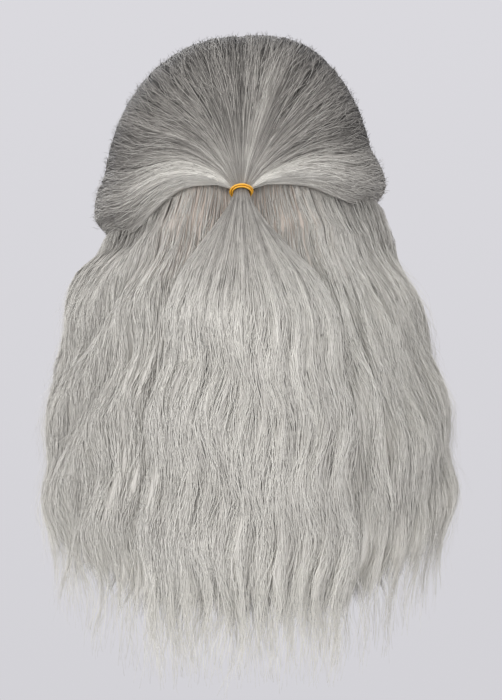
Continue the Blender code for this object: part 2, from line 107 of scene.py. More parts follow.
# Locks across each mass, and where its first lock stands in the row of uneven crests
CROWN_LOCKS, TAIL_LOCKS, LOOSE_LOCKS = 26, 11, 30
TAIL_SEED = 6
BACK_SHARE = 1 / 3
# Share of the run that lies over the head, before the hair gathers to the tie
SCALP_RUN = 0.86
# Share of the run that is tucked under the swept hair
TUCKED_RUN = 0.03
# Run at which most loose strands start, under the swept hair
LOOSE_ROOT = -0.02
# How strands lie: how far the middle of a small lock rises, how far single strands do, and their widths as
# shares of the strand's
LOCK_RISE = 0.0004
STRAND_RISES = (-0.0002, 0.0007)
STRAND_WIDTHS = (0.7, 1.25)
LONG_WAVE_LENGTH = 0.085
# How far fine strands stand off at most, over the loose and over the swept hair
FLYAWAY_REACH, CROWN_FLYAWAY_REACH = 0.0085, 0.0038
# Share of the loose strands that lie inside, and of those beside the tie that are tan
INSIDE_SHARE, TAN_SHARE = 1 / 7, 0.35
# How much darker than its strands a mass is painted, outside and inside, as painted shade between and under
# the strands, and how much the swept hair shines
OUTER_PAINTED_SHADE, INNER_PAINTED_SHADE = 0.14, 0.20
CROWN_SHINE = 0.12
# The stage: how far behind the wig the camera stands, the height that its frame shows there, and the floor
CAMERA_DISTANCE, PHOTO_HEIGHT = 2.0, 0.49
FLOOR_HEIGHT = -0.62


class Rows:
    """Smooth curves through rows of numbers. The first column is the place, and between two rows a column
    runs on the cubic whose slopes there are those of the chords over the neighbouring rows."""

    def __init__(self, names, *rows):
        rows = np.array(rows, float)
        self.places = rows[:, 0]
        self.columns = dict(zip(names.split(), rows.T))

    def read(self, name, at):
        x, v = self.places, self.columns[name]
        k = np.arange(len(x))
        before, after = np.maximum(k - 1, 0), np.minimum(k + 1, len(x) - 1)
        slope = (v[after] - v[before]) / (x[after] - x[before])
        at = np.clip(at, x[0], x[-1])
        low = np.clip(np.searchsorted(x, at, side="right") - 1, 0, len(x) - 2)
        span = x[low + 1] - x[low]
        t = (at - x[low]) / span
        return (
            v[low] * (2 * t**3 - 3 * t**2 + 1)
            + slope[low] * span * (t**3 - 2 * t**2 + t)
            + v[low + 1] * (3 * t**2 - 2 * t**3)
            + slope[low + 1] * span * (t**3 - t**2)
        )


CAP_EDGE = Rows(
    "turn rise",
    (0, -47), (30, -43), (60, -29), (80, -16), (94, -15), (106, -20), (116, -7), (132, 9), (152, 26),
    (180, 30),
)
CROWN_DEPTHS = Rows(
    "lean left right",
    (0, 1.00, 1.00), (25, 1.08, 1.28), (45, 1.08, 1.14), (70, 0.97, 0.86), (90, 0.94, 0.84),
    (110, 0.94, 0.84),
)
SECTIONS = Rows(
    "drop sway side_room back_room front_room side_hair back_hair front_hair",
    (0.00, 0.0, 1.00, 1.00, 1.00, 0.50, 0.27, 0.30),
    (0.08, 0.0, 0.97, 0.96, 0.90, 0.66, 0.37, 0.60),
    (0.18, 0.0, 1.08, 0.82, 0.76, 0.91, 0.71, 0.90),
    (0.30, 0.5, 1.16, 0.73, 0.76, 0.98, 0.98, 1.00),
    (0.45, 1.0, 1.27, 0.79, 0.82, 1.02, 0.93, 1.05),
    (0.60, 1.0, 1.35, 0.84, 0.88, 1.00, 0.83, 1.00),
    (0.75, 0.8, 1.36, 0.86, 0.90, 0.98, 0.74, 0.85),
    (1.00, 0.0, 1.32, 0.84, 0.88, 0.86, 0.60, 0.60),
)
HEM = Rows("turn rise", (0, 0.00), (30, 0.06), (45, 0.26), (60, 0.44), (85, 0.70), (130, 1.00))
TAIL = Rows(
    "drop left right depth",
    (0.00, 0.10, 0.10, 0.50), (0.06, 0.20, 0.20, 0.66), (0.09, 0.31, 0.33, 0.76), (0.13, 0.46, 0.51, 0.88),
    (0.17, 0.55, 0.68, 0.96), (0.25, 0.65, 0.84, 1.00), (0.35, 0.73, 0.92, 1.00), (0.50, 0.82, 0.97, 0.90),
    (0.75, 0.90, 1.00, 0.74), (1.00, 0.80, 0.86, 0.46),
)


# Curves and vectors


def smooth(value):
    """0 below 0, 1 above 1 and 3v^2 - 2v^3 between them."""
    held = np.clip(value, 0.0, 1.0)
    return held * held * (3 - 2 * held)


def mix(first, second, share):
    return first + (second - first) * share


def vectors(x, y, z):
    return np.stack(np.broadcast_arrays(x, y, z), -1)


def unit(v):
    return v / np.maximum(np.linalg.norm(v, axis=-1, keepdims=True), 1e-12)


def turned(values):
    """A number for each point, ready to scale its vector."""
    return np.asarray(values)[..., None]


# The head and the tie


def on_head(direction, lift):
    """The ellipsoid's point in a direction: each half-axis plus the lift, times the direction."""
    return direction * (HEAD + turned(lift)) - (0, 0, HEAD[2])


TIE_RISE = (HEAD[2] - TIE_DROP) / HEAD[2]
TIE_WAY = np.array((0, math.sqrt(1 - TIE_RISE**2), TIE_RISE))
TIE_CENTRE = on_head(TIE_WAY, CAP_WALL + TIE_STAND_OFF)
FALL = np.array((0, math.cos(FALL_ANGLE), -math.sin(FALL_ANGLE)))
OVER = np.array((0, -FALL[2], FALL[1]))
LEFTWARD = np.array((1.0, 0, 0))


def swept_way(lean, reach):
    """Direction at the angle reach from the tie, leaning round it from straight up:
    tie * cos reach + (up * cos lean + left * sin lean) * sin reach."""
    up = np.array((0, -TIE_WAY[2], TIE_WAY[1]))
    away = up * turned(np.cos(lean)) + LEFTWARD * turned(np.sin(lean))
    return TIE_WAY * turned(np.cos(reach)) + away * turned(np.sin(reach))


def edge_lean(side, reach):
    """Lean of the lowest swept hair, signed as its side, sagging from LEAN_AT_TIE to its far lean."""
    far = np.where(side > 0, LEAN_LEFT, LEAN_RIGHT)
    sagged = smooth((reach - REACH_OF_TIE_LEAN) / (REACH_OF_FULL_LEAN - REACH_OF_TIE_LEAN))
    return np.where(side >= 0, 1, -1) * mix(LEAN_AT_TIE, far, sagged)


def hairline_reach(share):
    """Reach at which a share's hair starts behind the cap's edge, found by halving."""
    low = np.full(np.shape(share), REACH_AT_GATHER)
    high = np.full(np.shape(share), math.radians(175))
    for _ in range(24):
        middle = (low + high) / 2
        way = swept_way(np.abs(share) * edge_lean(share, middle), middle)
        turn = np.arctan2(way[..., 0], way[..., 1])
        edge = np.radians(CAP_EDGE.read("rise", np.abs(np.degrees(turn)))) + LACE_MARGIN / HEAD[2]
        inside = (np.arcsin(np.clip(way[..., 2], -1, 1)) > edge) | (np.cos(turn) > math.cos(EAR_TURN))
        low, high = np.where(inside, middle, low), np.where(inside, high, middle)
    return low


def spoke(angle):
    """Way out of the bundle at an angle from its upper side."""
    return OVER * turned(np.cos(angle)) + LEFTWARD * turned(np.sin(angle))


def bundle_point(angle, radius, along):
    """Round the bundle's axis: centre + fall * along + spoke * radius."""
    return TIE_CENTRE + FALL * turned(along) + spoke(angle) * turned(radius)


def neck_radius(along):
    """The bundle's radius, thinnest under the tie and flaring on both sides."""
    return BUNDLE_RADIUS * (1 + NECK_FLARE * smooth((np.abs(along) - NECK_LENGTH) / GATHER_LENGTH))


def lock_ridge(place):
    """Height of the hair across its locks: -0.5 in the valleys at even places, and the crests at odd ones,
    joined as -0.5 + (crest + 0.5) * sin(pi p / 2)^2."""
    crest = 0.40 + 0.28 * np.sin(1.9 * place) + 0.12 * np.sin(4.3 * place + 1.0)
    return -0.5 + (crest + 0.5) * np.sin(np.pi * place / 2) ** 2


def relieved(ridge, relief):
    """The ridge with its relief kept, or let sink towards the even level of strands that bridge the locks."""
    return mix(BRIDGE_LEVEL, ridge, relief)


# The forms of the masses: each takes the share and the run, and how much of the locks' relief it keeps, and
# gives the inner point, the outer point and the way out of the hair there.


def crown_form(share, run, relief):
    """Hair swept to the tie. Its lean is the share times the edge's, its reach falls from the hairline's to
    the tie's, and the last of the run blends from the head's ellipsoid to the bundle by an even S."""
    start = hairline_reach(share)
    gather = np.clip((run - SCALP_RUN) / (1 - SCALP_RUN), 0, 1)
    reach = mix(mix(start, REACH_AT_GATHER, np.clip(run / SCALP_RUN, 0, 1)), REACH_AT_TIE, gather)
    lean = np.abs(share) * edge_lean(share, reach)
    way = swept_way(lean, reach)
    from_hairline = (start - reach) * HEAD[2]
    degrees = np.abs(np.degrees(lean))
    full = mix(TOP_HAIR, SIDE_HAIR, smooth(degrees / 90)) * np.where(
        lean > 0, CROWN_DEPTHS.read("left", degrees), CROWN_DEPTHS.read("right", degrees)
    )
    depth = mix(HAIRLINE_HAIR, full, smooth(from_hairline / HAIRLINE_RISE))
    depth = mix(depth, TIE_STAND_OFF * 0.8, smooth(1 - (reach - REACH_AT_GATHER) / math.radians(40)))
    inland = smooth((1 - np.abs(share)) * CROWN_LOCKS)
    ridge = relieved(lock_ridge((1 - share) * CROWN_LOCKS) * inland, relief)
    lock = ridge * CROWN_LOCK_HEIGHT * smooth(from_hairline / HAIRLINE_RISE) * (1 - smooth(gather * 1.2))
    depth = (depth + lock) * mix(EDGE_DEPTH, 1, smooth((1 - np.abs(share)) / EDGE_SHARE))
    tuck = smooth((np.abs(share) - TUCK_START) / (TUCK_FULL - TUCK_START)) * (UNDER_HAIR + SEAT_GAP)
    lift = CAP_WALL + SEAT_GAP + tuck * smooth(from_hairline / TUCK_RISE)
    along = -mix(GATHER_LENGTH, BUNDLE_GAP / 2, gather)
    side = np.where(share >= 0, 1, -1)
    round_tie = side * (math.pi - (math.pi - np.abs(lean)) * np.abs(share))
    eased = turned(smooth(gather))
    radius = neck_radius(along)
    inner = mix(on_head(way, lift), bundle_point(round_tie, radius, along), eased)
    outer = mix(on_head(way, lift + depth), bundle_point(lean, radius, along), eased)
    return inner, outer, unit(mix(way, spoke(lean), eased))


def loose_axes(height):
    """Half-axes of the loose hair's inside and outside at a height, as rows of side, back and front. Where
    the cap is wider than the room for the head, the inside lies on the cap."""
    drop = (-HEAD[2] - height) / HANG
    lift = CAP_WALL + SEAT_GAP
    cap = np.sqrt(np.maximum(1 - ((height + HEAD[2]) / (HEAD[2] + lift)) ** 2, 0.0))
    inside, outside = [], []
    for name, half, depth in LOOSE_DEPTHS:
        room = np.maximum(SECTIONS.read(name + "_room", drop) * half, cap * (half + lift))
        inside.append(room)
        outside.append(room + SECTIONS.read(name + "_hair", drop) * depth)
    return np.array(inside), np.array(outside)


def sway(height):
    """How far the loose hair hangs to the side at a height."""
    return -LOOSE_SWAY * SECTIONS.read("sway", (-HEAD[2] - height) / HANG)


def around(turn, axes, out, sideways):
    """The section's ellipse at an angle, moved out along its normal and sideways along it, and the normal."""
    side, deep = axes[0], np.where(np.cos(turn) > 0, axes[1], axes[2])
    normal = unit(vectors(np.sin(turn) / side, np.cos(turn) / deep, 0 * side))
    beside = vectors(normal[..., 1], -normal[..., 0], 0 * side)
    point = vectors(side * np.sin(turn), deep * np.cos(turn), 0 * side)
    return point + normal * turned(out) + beside * turned(sideways), normal


def loose_start(share):
    """Turn and height at which loose hair starts under the swept hair, and the height of its edge."""
    reach = np.maximum(np.abs(share), 0.001) * LOOSE_TOP_REACH
    lift = CAP_WALL + SEAT_GAP + UNDER_HAIR
    edge = on_head(swept_way(edge_lean(share, reach), reach), np.full(np.shape(reach), lift))
    turn = np.arctan2(edge[..., 0] / (HEAD[0] + lift), edge[..., 1] / (HEAD[1] + lift))
    highest = TIE_CENTRE[2] - TIE_CLEARANCE * (1 - EDGE_LIFT * smooth(reach / FLAT_TOP_REACH))
    edge_height = np.minimum(edge[..., 2] - SEAT_GAP, highest)
    top = edge_height + mix(TOP_TUCK, UNDERLAP, smooth(reach / FLAT_TOP_REACH - 1))
    return turn, top, edge_height


def hem_height(turn):
    """Height of the tips at a turn from the middle of the back, before the locks' own ends."""
    return -HEAD[2] - HANG + HEM_RISE * HEM.read("rise", np.abs(np.degrees(turn)))


def tail_spread(side, drop):
    """Half the ponytail's width at a drop from the tie, on the side that the sign of side tells."""
    return PONYTAIL_SPREAD * np.where(side > 0, TAIL.read("left", drop), TAIL.read("right", drop))


def loose_ridge(share):
    """The locks of the loose hair, whose crests each section takes from its own place in the row."""
    offset = np.where(share > BACK_SHARE, 2, np.where(share > -BACK_SHARE, -8, -10))
    return lock_ridge((1 - share) * LOOSE_LOCKS + offset)


def loose_form(share, run, relief):
    """Loose hair. It leaves the swept hair's edge at TUCKED_RUN and hangs to the hem at run 1. At each height
    it is an ellipse, filled out below the edge by an even S and thinned towards the tips, and its waves are
    sin(2 pi below / WAVE_LENGTH + phase), with a phase that changes from lock to lock."""
    ridge = loose_ridge(share)
    turn_top, top, edge_height = loose_start(share)
    turn_low = share * LOOSE_FRONT_TURN
    bottom = hem_height(turn_low) + LOCK_TIP * (0.5 - relieved(ridge, relief))
    along = np.maximum((run - TUCKED_RUN) / (1 - TUCKED_RUN), 0)
    tucked = mix(top, edge_height, np.clip(run / TUCKED_RUN, -1, 1))
    height = np.where(run < TUCKED_RUN, tucked, mix(edge_height, bottom, along))
    below = edge_height - height
    turn = mix(turn_top, turn_low, smooth(below / (0.55 * HANG)))
    full_drop = mix(GROWTH_DROP, GROWTH_DROP_SIDE, smooth((np.abs(np.degrees(turn_top)) - 40) / 40))
    filled = smooth(below / full_drop)
    inside, outside = loose_axes(height)
    axes = mix(inside + UNDER_HAIR, outside, filled)
    place = around(turn, axes, 0 * turn, 0 * turn)[0][..., 0]
    behind = tail_spread(place, (TIE_CENTRE[2] - height) / HAIR_DROP) + TAIL_MARGIN
    free = filled * smooth((np.abs(place) - behind) / (2 * TAIL_MARGIN))
    phase = 3.1 * np.sin(2.3 * share * math.pi) + 0.8 * ridge
    wave = np.sin(2 * math.pi * below / WAVE_LENGTH + phase) * smooth(below / 0.06)
    sideways = free * wave * WAVE_HEIGHT * 0.6
    thin = smooth((along - TAPER_START) / (1 - TAPER_START))
    out = relieved(ridge, relief * (1 - 0.6 * thin)) * LOCK_HEIGHT + wave * WAVE_HEIGHT
    high, normal = around(turn, axes, free * out, sideways)
    low = around(turn, inside, 0 * turn, sideways)[0]
    for point in (high, low):
        point[..., 0] += sway(height)
        point[..., 2] = height
    depth = np.linalg.norm(high - low, axis=-1)
    kept = turned(mix(1.0, np.minimum(END_DEPTH / depth, 1.0), thin))
    middle = mix(low, high, turned(mix(0.5, 0.82, thin)))
    return mix(middle, low, kept), mix(middle, high, kept), normal


def tail_bed(x, height):
    """How far back the loose hair reaches behind the ponytail."""
    edge = loose_start(np.arcsin(np.minimum(np.abs(x) / (2 * HEAD[0]), 1.0)) / LOOSE_TOP_REACH)[2]
    inside, outside = loose_axes(height)
    side, back = mix(inside + UNDER_HAIR, outside, smooth((edge - height) / GROWTH_DROP))[:2]
    return back * np.sqrt(np.maximum(1 - ((x - sway(height)) / side) ** 2, 0.0))


def tail_form(share, run, relief):
    """The ponytail. It leaves the bundle as its circle and blends over PONYTAIL_BLEND of the drop to a
    lens that lies on the loose hair, whose depth falls off to the sides as sqrt(1 - 0.93 share^2)."""
    ridge = lock_ridge((1 - share) * TAIL_LOCKS + TAIL_SEED)
    bottom = hem_height(0 * share) + PONYTAIL_SHORT + LOCK_TIP * (0.5 - relieved(ridge, relief))
    height = mix(TIE_CENTRE[2] - TIE_STRAND, bottom, run)
    fall = TIE_CENTRE[2] - height
    drop = fall / HAIR_DROP
    thin = smooth((run - TAPER_START) / (1 - TAPER_START))
    held = np.clip(share, -1, 1)
    depth = PONYTAIL_DEPTH * TAIL.read("depth", drop) * np.sqrt(np.maximum(1 - 0.93 * held * held, 0.0))
    phase = 2.2 * np.sin(2.0 * share) + 0.8 * ridge
    wave = np.sin(2 * math.pi * fall / WAVE_LENGTH + phase) * smooth((fall - 0.05) / 0.06)
    x = tail_spread(share, drop) * share + wave * WAVE_HEIGHT * 0.6
    bed = tail_bed(x, height) + 2 * SEAT_GAP
    out = relieved(ridge, relief * (1 - 0.8 * thin)) * LOCK_HEIGHT * smooth(fall / 0.05)
    out = out + (wave + 1) * WAVE_HEIGHT * (1 - thin)
    depth = mix(depth, END_DEPTH, thin) + out * (1 - 0.6 * thin)
    low = vectors(x, bed, height)
    high = vectors(x, bed + np.maximum(depth, END_DEPTH * 0.6), height)
    joined = turned(smooth(drop / PONYTAIL_BLEND))
    from_tie = BUNDLE_GAP / 2 + 0.16 * drop
    radius = neck_radius(from_tie)
    upper_half = math.radians(100)
    side = np.where(share >= 0, 1, -1)
    round_tie = side * (math.pi - (math.pi - upper_half) * np.abs(held))
    normal = unit(vectors(0.75 * held, 1 + 0 * held, 0 * held))
    return (
        mix(bundle_point(round_tie, radius, from_tie), low, joined),
        mix(bundle_point(held * upper_half, radius, from_tie), high, joined),
        unit(mix(spoke(held * upper_half), normal, joined)),
    )


# Meshes


def mesh_object(name, points, faces, maps, numbers):
    """An object from points, lists of faces with the same number of corners, UV maps given at the corners
    of all the faces in order, and numbers for each point."""
    mesh = bpy.data.meshes.new(name)
    corners = np.concatenate([group.ravel() for group in faces])
    sizes = np.concatenate([np.full(len(group), group.shape[1]) for group in faces])
    mesh.vertices.add(len(points))
    mesh.vertices.foreach_set("co", np.asarray(points, np.float32).ravel())
    mesh.loops.add(len(corners))
    mesh.loops.foreach_set("vertex_index", corners.astype(np.int32))
    mesh.polygons.add(len(sizes))
    mesh.polygons.foreach_set("loop_start", np.concatenate([[0], np.cumsum(sizes)[:-1]]).astype(np.int32))
    mesh.update(calc_edges=True)
    for key, places in maps.items():
        layer = mesh.uv_layers.new(name=key)
        layer.uv.foreach_set("vector", np.asarray(places, np.float32).ravel())
    for key, values in numbers.items():
        layer = mesh.attributes.new(key, "FLOAT", "POINT")
        layer.data.foreach_set("value", np.asarray(values, np.float32).ravel())
    mesh.shade_smooth()
    made = bpy.data.objects.new(name, mesh)
    bpy.context.scene.collection.objects.link(made)
    return made


def mass_object(name, inner, outer, numbers):
    """A closed body between two grids of points, whose rows run down and whose columns run from left to
    right. Its map OFBake has the outside above the inside and the rim in a strip below them, and its map flow
    has metres across and along the hair, and through the depth on the rim."""
    rows, columns = outer.shape[:2]
    count = rows * columns
    grid = np.arange(count).reshape(rows, columns)
    a, b, c, d = grid[:-1, :-1], grid[:-1, 1:], grid[1:, 1:], grid[1:, :-1]
    skin = np.stack([d, c, b, a], -1).reshape(-1, 4)
    lining = np.stack([a, b, c, d], -1).reshape(-1, 4) + count
    loop = np.concatenate([grid[0, :], grid[1:, -1], grid[-1, -2::-1], grid[-2:0:-1, 0]])
    after = np.roll(loop, -1)
    rim = np.stack([loop, after, after + count, loop + count], -1)
    sheets = np.concatenate([skin, lining])
    u = np.broadcast_to(np.linspace(0.004, 0.996, columns), (rows, columns))
    v = np.broadcast_to(np.linspace(1, 0, rows)[:, None], (rows, columns))
    upper = np.stack([u, 0.545 + 0.45 * v], -1).reshape(-1, 2)
    lower = np.stack([u, 0.085 + 0.45 * v], -1).reshape(-1, 2)
    at = np.linspace(0.004, 0.996, len(loop) + 1)
    strip = [(at[:-1], 0.07), (at[1:], 0.07), (at[1:], 0.01), (at[:-1], 0.01)]
    strip = np.stack([np.stack([x, 0 * x + y], -1) for x, y in strip], 1)
    across = np.cumsum(np.linalg.norm(np.diff(outer, axis=1, prepend=outer[:, :1]), axis=-1), axis=1)
    across = np.broadcast_to(across.mean(0), (rows, columns))
    along = np.cumsum(np.linalg.norm(np.diff(outer, axis=0, prepend=outer[:1]), axis=-1), axis=0)
    flow = np.stack([across, along], -1).reshape(-1, 2)
    depth = np.linalg.norm(outer - inner, axis=-1).ravel()
    deep = flow + np.stack([depth, 0 * depth], -1)
    through = np.stack([flow[loop], flow[after], deep[after], deep[loop]], 1)
    maps = {
        "OFBake": np.concatenate([np.concatenate([upper, lower])[sheets], strip]),
        "flow": np.concatenate([np.concatenate([flow, flow + (0.6, 0.4)])[sheets], through]),
    }
    held = {key: np.broadcast_to(value, (2, rows, columns)).ravel() for key, value in numbers.items()}
    points = np.concatenate([outer.reshape(-1, 3), inner.reshape(-1, 3)])
    return mesh_object(name, points, [sheets, rim], maps, held)


def strand_object(name, paths, out, width, numbers):
    """Closed three-sided strands. A ring has two points half a width to the sides and one raised above
    them, and rings follow the path. Each strand has its own strip of the map OFBake, in rows of strips."""
    strands, rings = paths.shape[:2]
    way = unit(np.gradient(paths, axis=1))
    side = unit(np.cross(way, out))
    up = np.cross(side, way)
    half = turned(width / 2)
    ring = [paths - (side + up * 0.15) * half, paths + (side - up * 0.15) * half, paths + up * half * 0.3]
    points = np.stack(ring, 2).reshape(-1, 3)
    base = np.arange(strands * rings).reshape(strands, rings) * 3
    here, after = base[:, :-1].ravel(), base[:, 1:].ravel()
    turns = [((k + 1) % 3, k) for k in range(3)]
    quads = np.concatenate([np.stack([here + n, here + k, after + k, after + n], -1) for n, k in turns])
    first, last = base[:, 0], base[:, -1]
    ends = [np.stack([first, first + 1, first + 2], -1), np.stack([last + 2, last + 1, last], -1)]
    tiers = max(1, round(math.sqrt(strands / 60)))
    per_tier = -(-strands // tiers)
    column, tier = np.arange(strands) % per_tier, np.arange(strands) // per_tier
    v = (tier[:, None] + np.linspace(0.03, 0.97, rings)) / tiers
    left = np.broadcast_to(((column + 0.08) / per_tier)[:, None], v.shape)
    right = np.broadcast_to(((column + 0.92) / per_tier)[:, None], v.shape)
    a, b = np.stack([left, v], -1), np.stack([right, v], -1)
    strip = np.stack([b[:, :-1], a[:, :-1], a[:, 1:], b[:, 1:]], 2).reshape(-1, 2)
    middle = (a + b) / 2
    beyond = np.array((0, 0.012 / tiers))
    caps = [a[:, 0], b[:, 0], middle[:, 0] - beyond], [middle[:, -1] + beyond, b[:, -1], a[:, -1]]
    caps = [np.stack(corners, 1).reshape(-1, 2) for corners in caps]
    layout = np.concatenate([np.tile(strip, (3, 1)), *caps])
    held = {key: np.broadcast_to(value, (strands, rings)).ravel().repeat(3) for key, value in numbers.items()}
    return mesh_object(name, points, [quads, *ends], {"OFBake": layout}, held)


# Strands


def wander(random, keys, run, knots):
    """Smooth random numbers about 1 high along each strand, the same for strands with the same key: random
    knots spaced evenly over the run and joined by an even S."""
    values = random.normal(size=(keys.max() + 1, knots + 1))
    at = np.clip(run, 0, 0.999) * knots
    low = at.astype(int)
    keys = keys[:, None]
    return mix(values[keys, low], values[keys, low + 1], smooth(at - low))


class Hair:
    """Strands laid on a form. Their shares are spread evenly, or crowd to both sides as
    t + crowd * (t - t^3), and gather to the middles of small locks as they run,
    share = s + (middle - s) * gather, and wander a little with their lock and by themselves. Their number
    middle is 1 for those rooted in the middle of a small lock, and 0 for those between two."""

    def __init__(self, random, form, relief, count, rings, shares, locks, runs, gather, drift, crowd=0.0):
        self.random, self.form, self.relief = random, form, relief
        self.count, self.rings = count, rings
        low, high = shares
        even = 2 * (np.arange(count) + random.random(count)) / count - 1
        self.root = mix(low, high, 0.5 + 0.5 * (even + crowd * (even - even**3)))
        middles = low + (high - low) * (np.arange(locks) + random.uniform(0.2, 0.8, locks)) / locks
        self.lock = np.searchsorted((middles[1:] + middles[:-1]) / 2, self.root)
        self.own = np.arange(count)
        start, end = runs
        self.run = mix(start[:, None], end[:, None], np.linspace(0, 1, rings))
        self.middle = 1 - np.clip((self.root - middles[self.lock]) * 2 * locks / (high - low), -1, 1) ** 2
        share = mix(self.root[:, None], middles[self.lock][:, None], gather(self.run))
        share = share + drift[0] * wander(random, self.lock, self.run, 5)
        share = share + drift[1] * wander(random, self.own, self.run, 6)
        self.share = np.clip(share, low, high)

    def at_edge(self, start):
        """A random depth for the strands rooted past start on either side, and 0 for the others."""
        return smooth((np.abs(self.root) - start) / 0.01) * self.random.random(self.count)

    def tones(self, own, shared):
        """A tone for each strand: normal numbers own high, and others that a small lock shares."""
        own_tone = self.random.normal(0, own, self.count)
        return own_tone + self.random.normal(0, shared, self.lock.max() + 1)[self.lock]

    def lay(self, proud, deep=0.0):
        """Puts the strands on the form: between its outside and its inside by deep, and proud of there."""
        inner, outer, out = self.form(self.share, self.run, self.relief)
        self.out = out
        self.paths = mix(outer, inner, turned(np.broadcast_to(deep, self.run.shape))) + out * turned(proud)
        steps = np.linalg.norm(np.diff(self.paths, axis=1), axis=-1)
        self.length = np.concatenate([np.zeros((self.count, 1)), np.cumsum(steps, 1)], 1)

    def wave(self, keys, height, length, share_out=0.5):
        """Bends the strands sideways by height * sin(2 pi s / length + phase), and out by a share of it in
        another phase. Strands with the same key bend together, each key with its own phase and length."""
        own_phase = self.random.uniform(0, 2 * math.pi, (keys.max() + 1, 2))[keys]
        own_length = length * self.random.uniform(0.75, 1.3, keys.max() + 1)[keys]
        angle = 2 * math.pi * self.length / own_length[:, None]
        outwards = share_out * height * np.sin(angle * 0.9 + own_phase[:, 1:])
        self.spread(height * np.sin(angle + own_phase[:, :1]), outwards)

    def long_bends(self, height, length, turns):
        """Long bends that neighbouring strands share: sideways by height * sin(2 pi s / length + phase),
        whose phase changes slowly with the share, turns * share + 1.3 * sin(2 * turns * share)."""
        phase = turns * self.root + 1.3 * np.sin(2 * turns * self.root)
        bend = height * np.sin(2 * math.pi * self.length / length + phase[:, None])
        self.spread(bend, 0.2 * bend)

    def spread(self, sideways, outwards):
        """Moves the strands' points across and out of the hair."""
        side = unit(np.cross(unit(np.gradient(self.paths, axis=1)), self.out))
        self.paths = self.paths + side * turned(sideways) + self.out * turned(outwards)


def tapered(hair, width, tip):
    """Width along strands: full from near the root, and narrowing over the last of the length to the tip."""
    s = np.linspace(0, 1, hair.rings)
    shape = mix(0.6, 1.0, smooth(s / 0.08)) * mix(1.0, tip, smooth((s - 0.7) / 0.3))
    return shape * width[:, None]


# Materials


class Wire:
    """An output of a material's node. Arithmetic on wires adds Math nodes to the material."""

    def __init__(self, finish, socket):
        self.finish, self.socket = finish, socket

    def maths(self, operation, first, second):
        return self.finish.node("Math", {"operation": operation}, {0: first, 1: second})

    def __add__(self, other):
        return self.maths("ADD", self, other)

    def __sub__(self, other):
        return self.maths("SUBTRACT", self, other)

    def __rsub__(self, other):
        return self.maths("SUBTRACT", other, self)

    def __mul__(self, other):
        return self.maths("MULTIPLY", self, other)

    __radd__ = __add__
    __rmul__ = __mul__


class Finish:
    """One material and its nodes."""

    def __init__(self, name, **uniform):
        self.material = bpy.data.materials.new(name)
        self.material.use_nodes = True
        self.tree = self.material.node_tree
        self.shader = self.tree.nodes["Principled BSDF"]
        for socket, value in uniform.items():
            self.shader.inputs[socket.replace("_", " ")].default_value = value

    def node(self, kind, settings, sockets, output=0):
        made = self.tree.nodes.new("ShaderNode" + kind)
        for key, value in settings.items():
            setattr(made, key, value)
        for key, value in sockets.items():
            if isinstance(value, Wire):
                self.tree.links.new(value.socket, made.inputs[key])
            else:
                made.inputs[key].default_value = value
        return Wire(self, made.outputs[output])

    def number(self, name):
        return self.node("Attribute", {"attribute_name": name}, {}, "Fac")

    def blend(self, factor, first, second):
        return self.node("Mix", {"data_type": "RGBA"}, {0: factor, 6: first, 7: second}, 2)

    def noise(self, place, scale, detail=2.0):
        """Noise about 0, from -0.5 to 0.5, with its own scale on each axis."""
        scaled = self.node("VectorMath", {"operation": "MULTIPLY"}, {0: place, 1: scale})
        return self.node("TexNoise", {}, {"Vector": scaled, "Scale": 1.0, "Detail": detail}) - 0.5

    def place(self):
        return self.node("TexCoord", {}, {}, "Object")

    def flow(self):
        return self.node("UVMap", {"uv_map": "flow"}, {})

    def use(self, socket, wire):
        self.tree.links.new(wire.socket, self.shader.inputs[socket])

    def bump(self, height, distance, strength=1.0):
        sockets = {"Height": height, "Distance": distance, "Strength": strength}
        self.use("Normal", self.node("Bump", {}, sockets))

    def hair_colour(self, light, warm):
        """Dark grey at light 0, mid grey at 0.5 and silver at 1, turned to tan by warm."""
        wig = bpy.context.scene.half_up_wig
        lower = self.blend(light * 2.0, opaque(wig.dark), opaque(wig.middle))
        grey = self.blend(light * 2.0 - 1.0, lower, opaque(wig.silver))
        return self.blend(warm, grey, opaque(wig.tan))


class Backdrop(Finish):
    """The world round the stage and its nodes."""

    def __init__(self, name):
        self.world = bpy.data.worlds.new(name)
        self.world.use_nodes = True
        self.tree = self.world.node_tree
        self.shader = self.tree.nodes["Background"]


def opaque(colour, by=1.0):
    """A property's colour as a socket takes it, each of its channels times by."""
    return (*np.clip(np.array(colour) * by, 0, 1), 1.0)


def strand_finish(name, specular=0.25):
    """Single strands: their own light, warm and tone, with mottling along them."""
    finish = Finish(name, Roughness=0.5, Specular_IOR_Level=specular)
    mottle = finish.noise(finish.place(), (220, 220, 70))
    light = finish.number("light") + finish.number("tone") * 0.044 + mottle * 0.08
    finish.use("Base Color", finish.hair_colour(light, finish.number("warm")))
    finish.use("Roughness", mottle * 0.3 + 0.5)
    return finish.material


def mass_finish(name):
    """Hair under the strands: fine streaks along the flow, in colour and relief."""
    finish = Finish(name, Roughness=0.6, Specular_IOR_Level=0.2)
    flow = finish.flow()
    fine = finish.noise(flow, (1200, 45, 1), 3.0)
    broad = finish.noise(flow, (420, 14, 1), 2.0)
    light = finish.number("light") + fine * 0.44 + broad * 0.10
    finish.use("Base Color", finish.hair_colour(light, finish.number("warm")))
    finish.use("Roughness", fine * 0.3 + 0.6)
    frayed = finish.noise(flow, (800, 14, 1), 3.0)
    shown = finish.number("fade") * 2.8 - 0.9 + frayed * 2.6
    finish.use("Alpha", finish.node("Clamp", {}, {0: shown}))
    finish.bump(fine + broad * 1.5, 0.0003)
    return finish.material


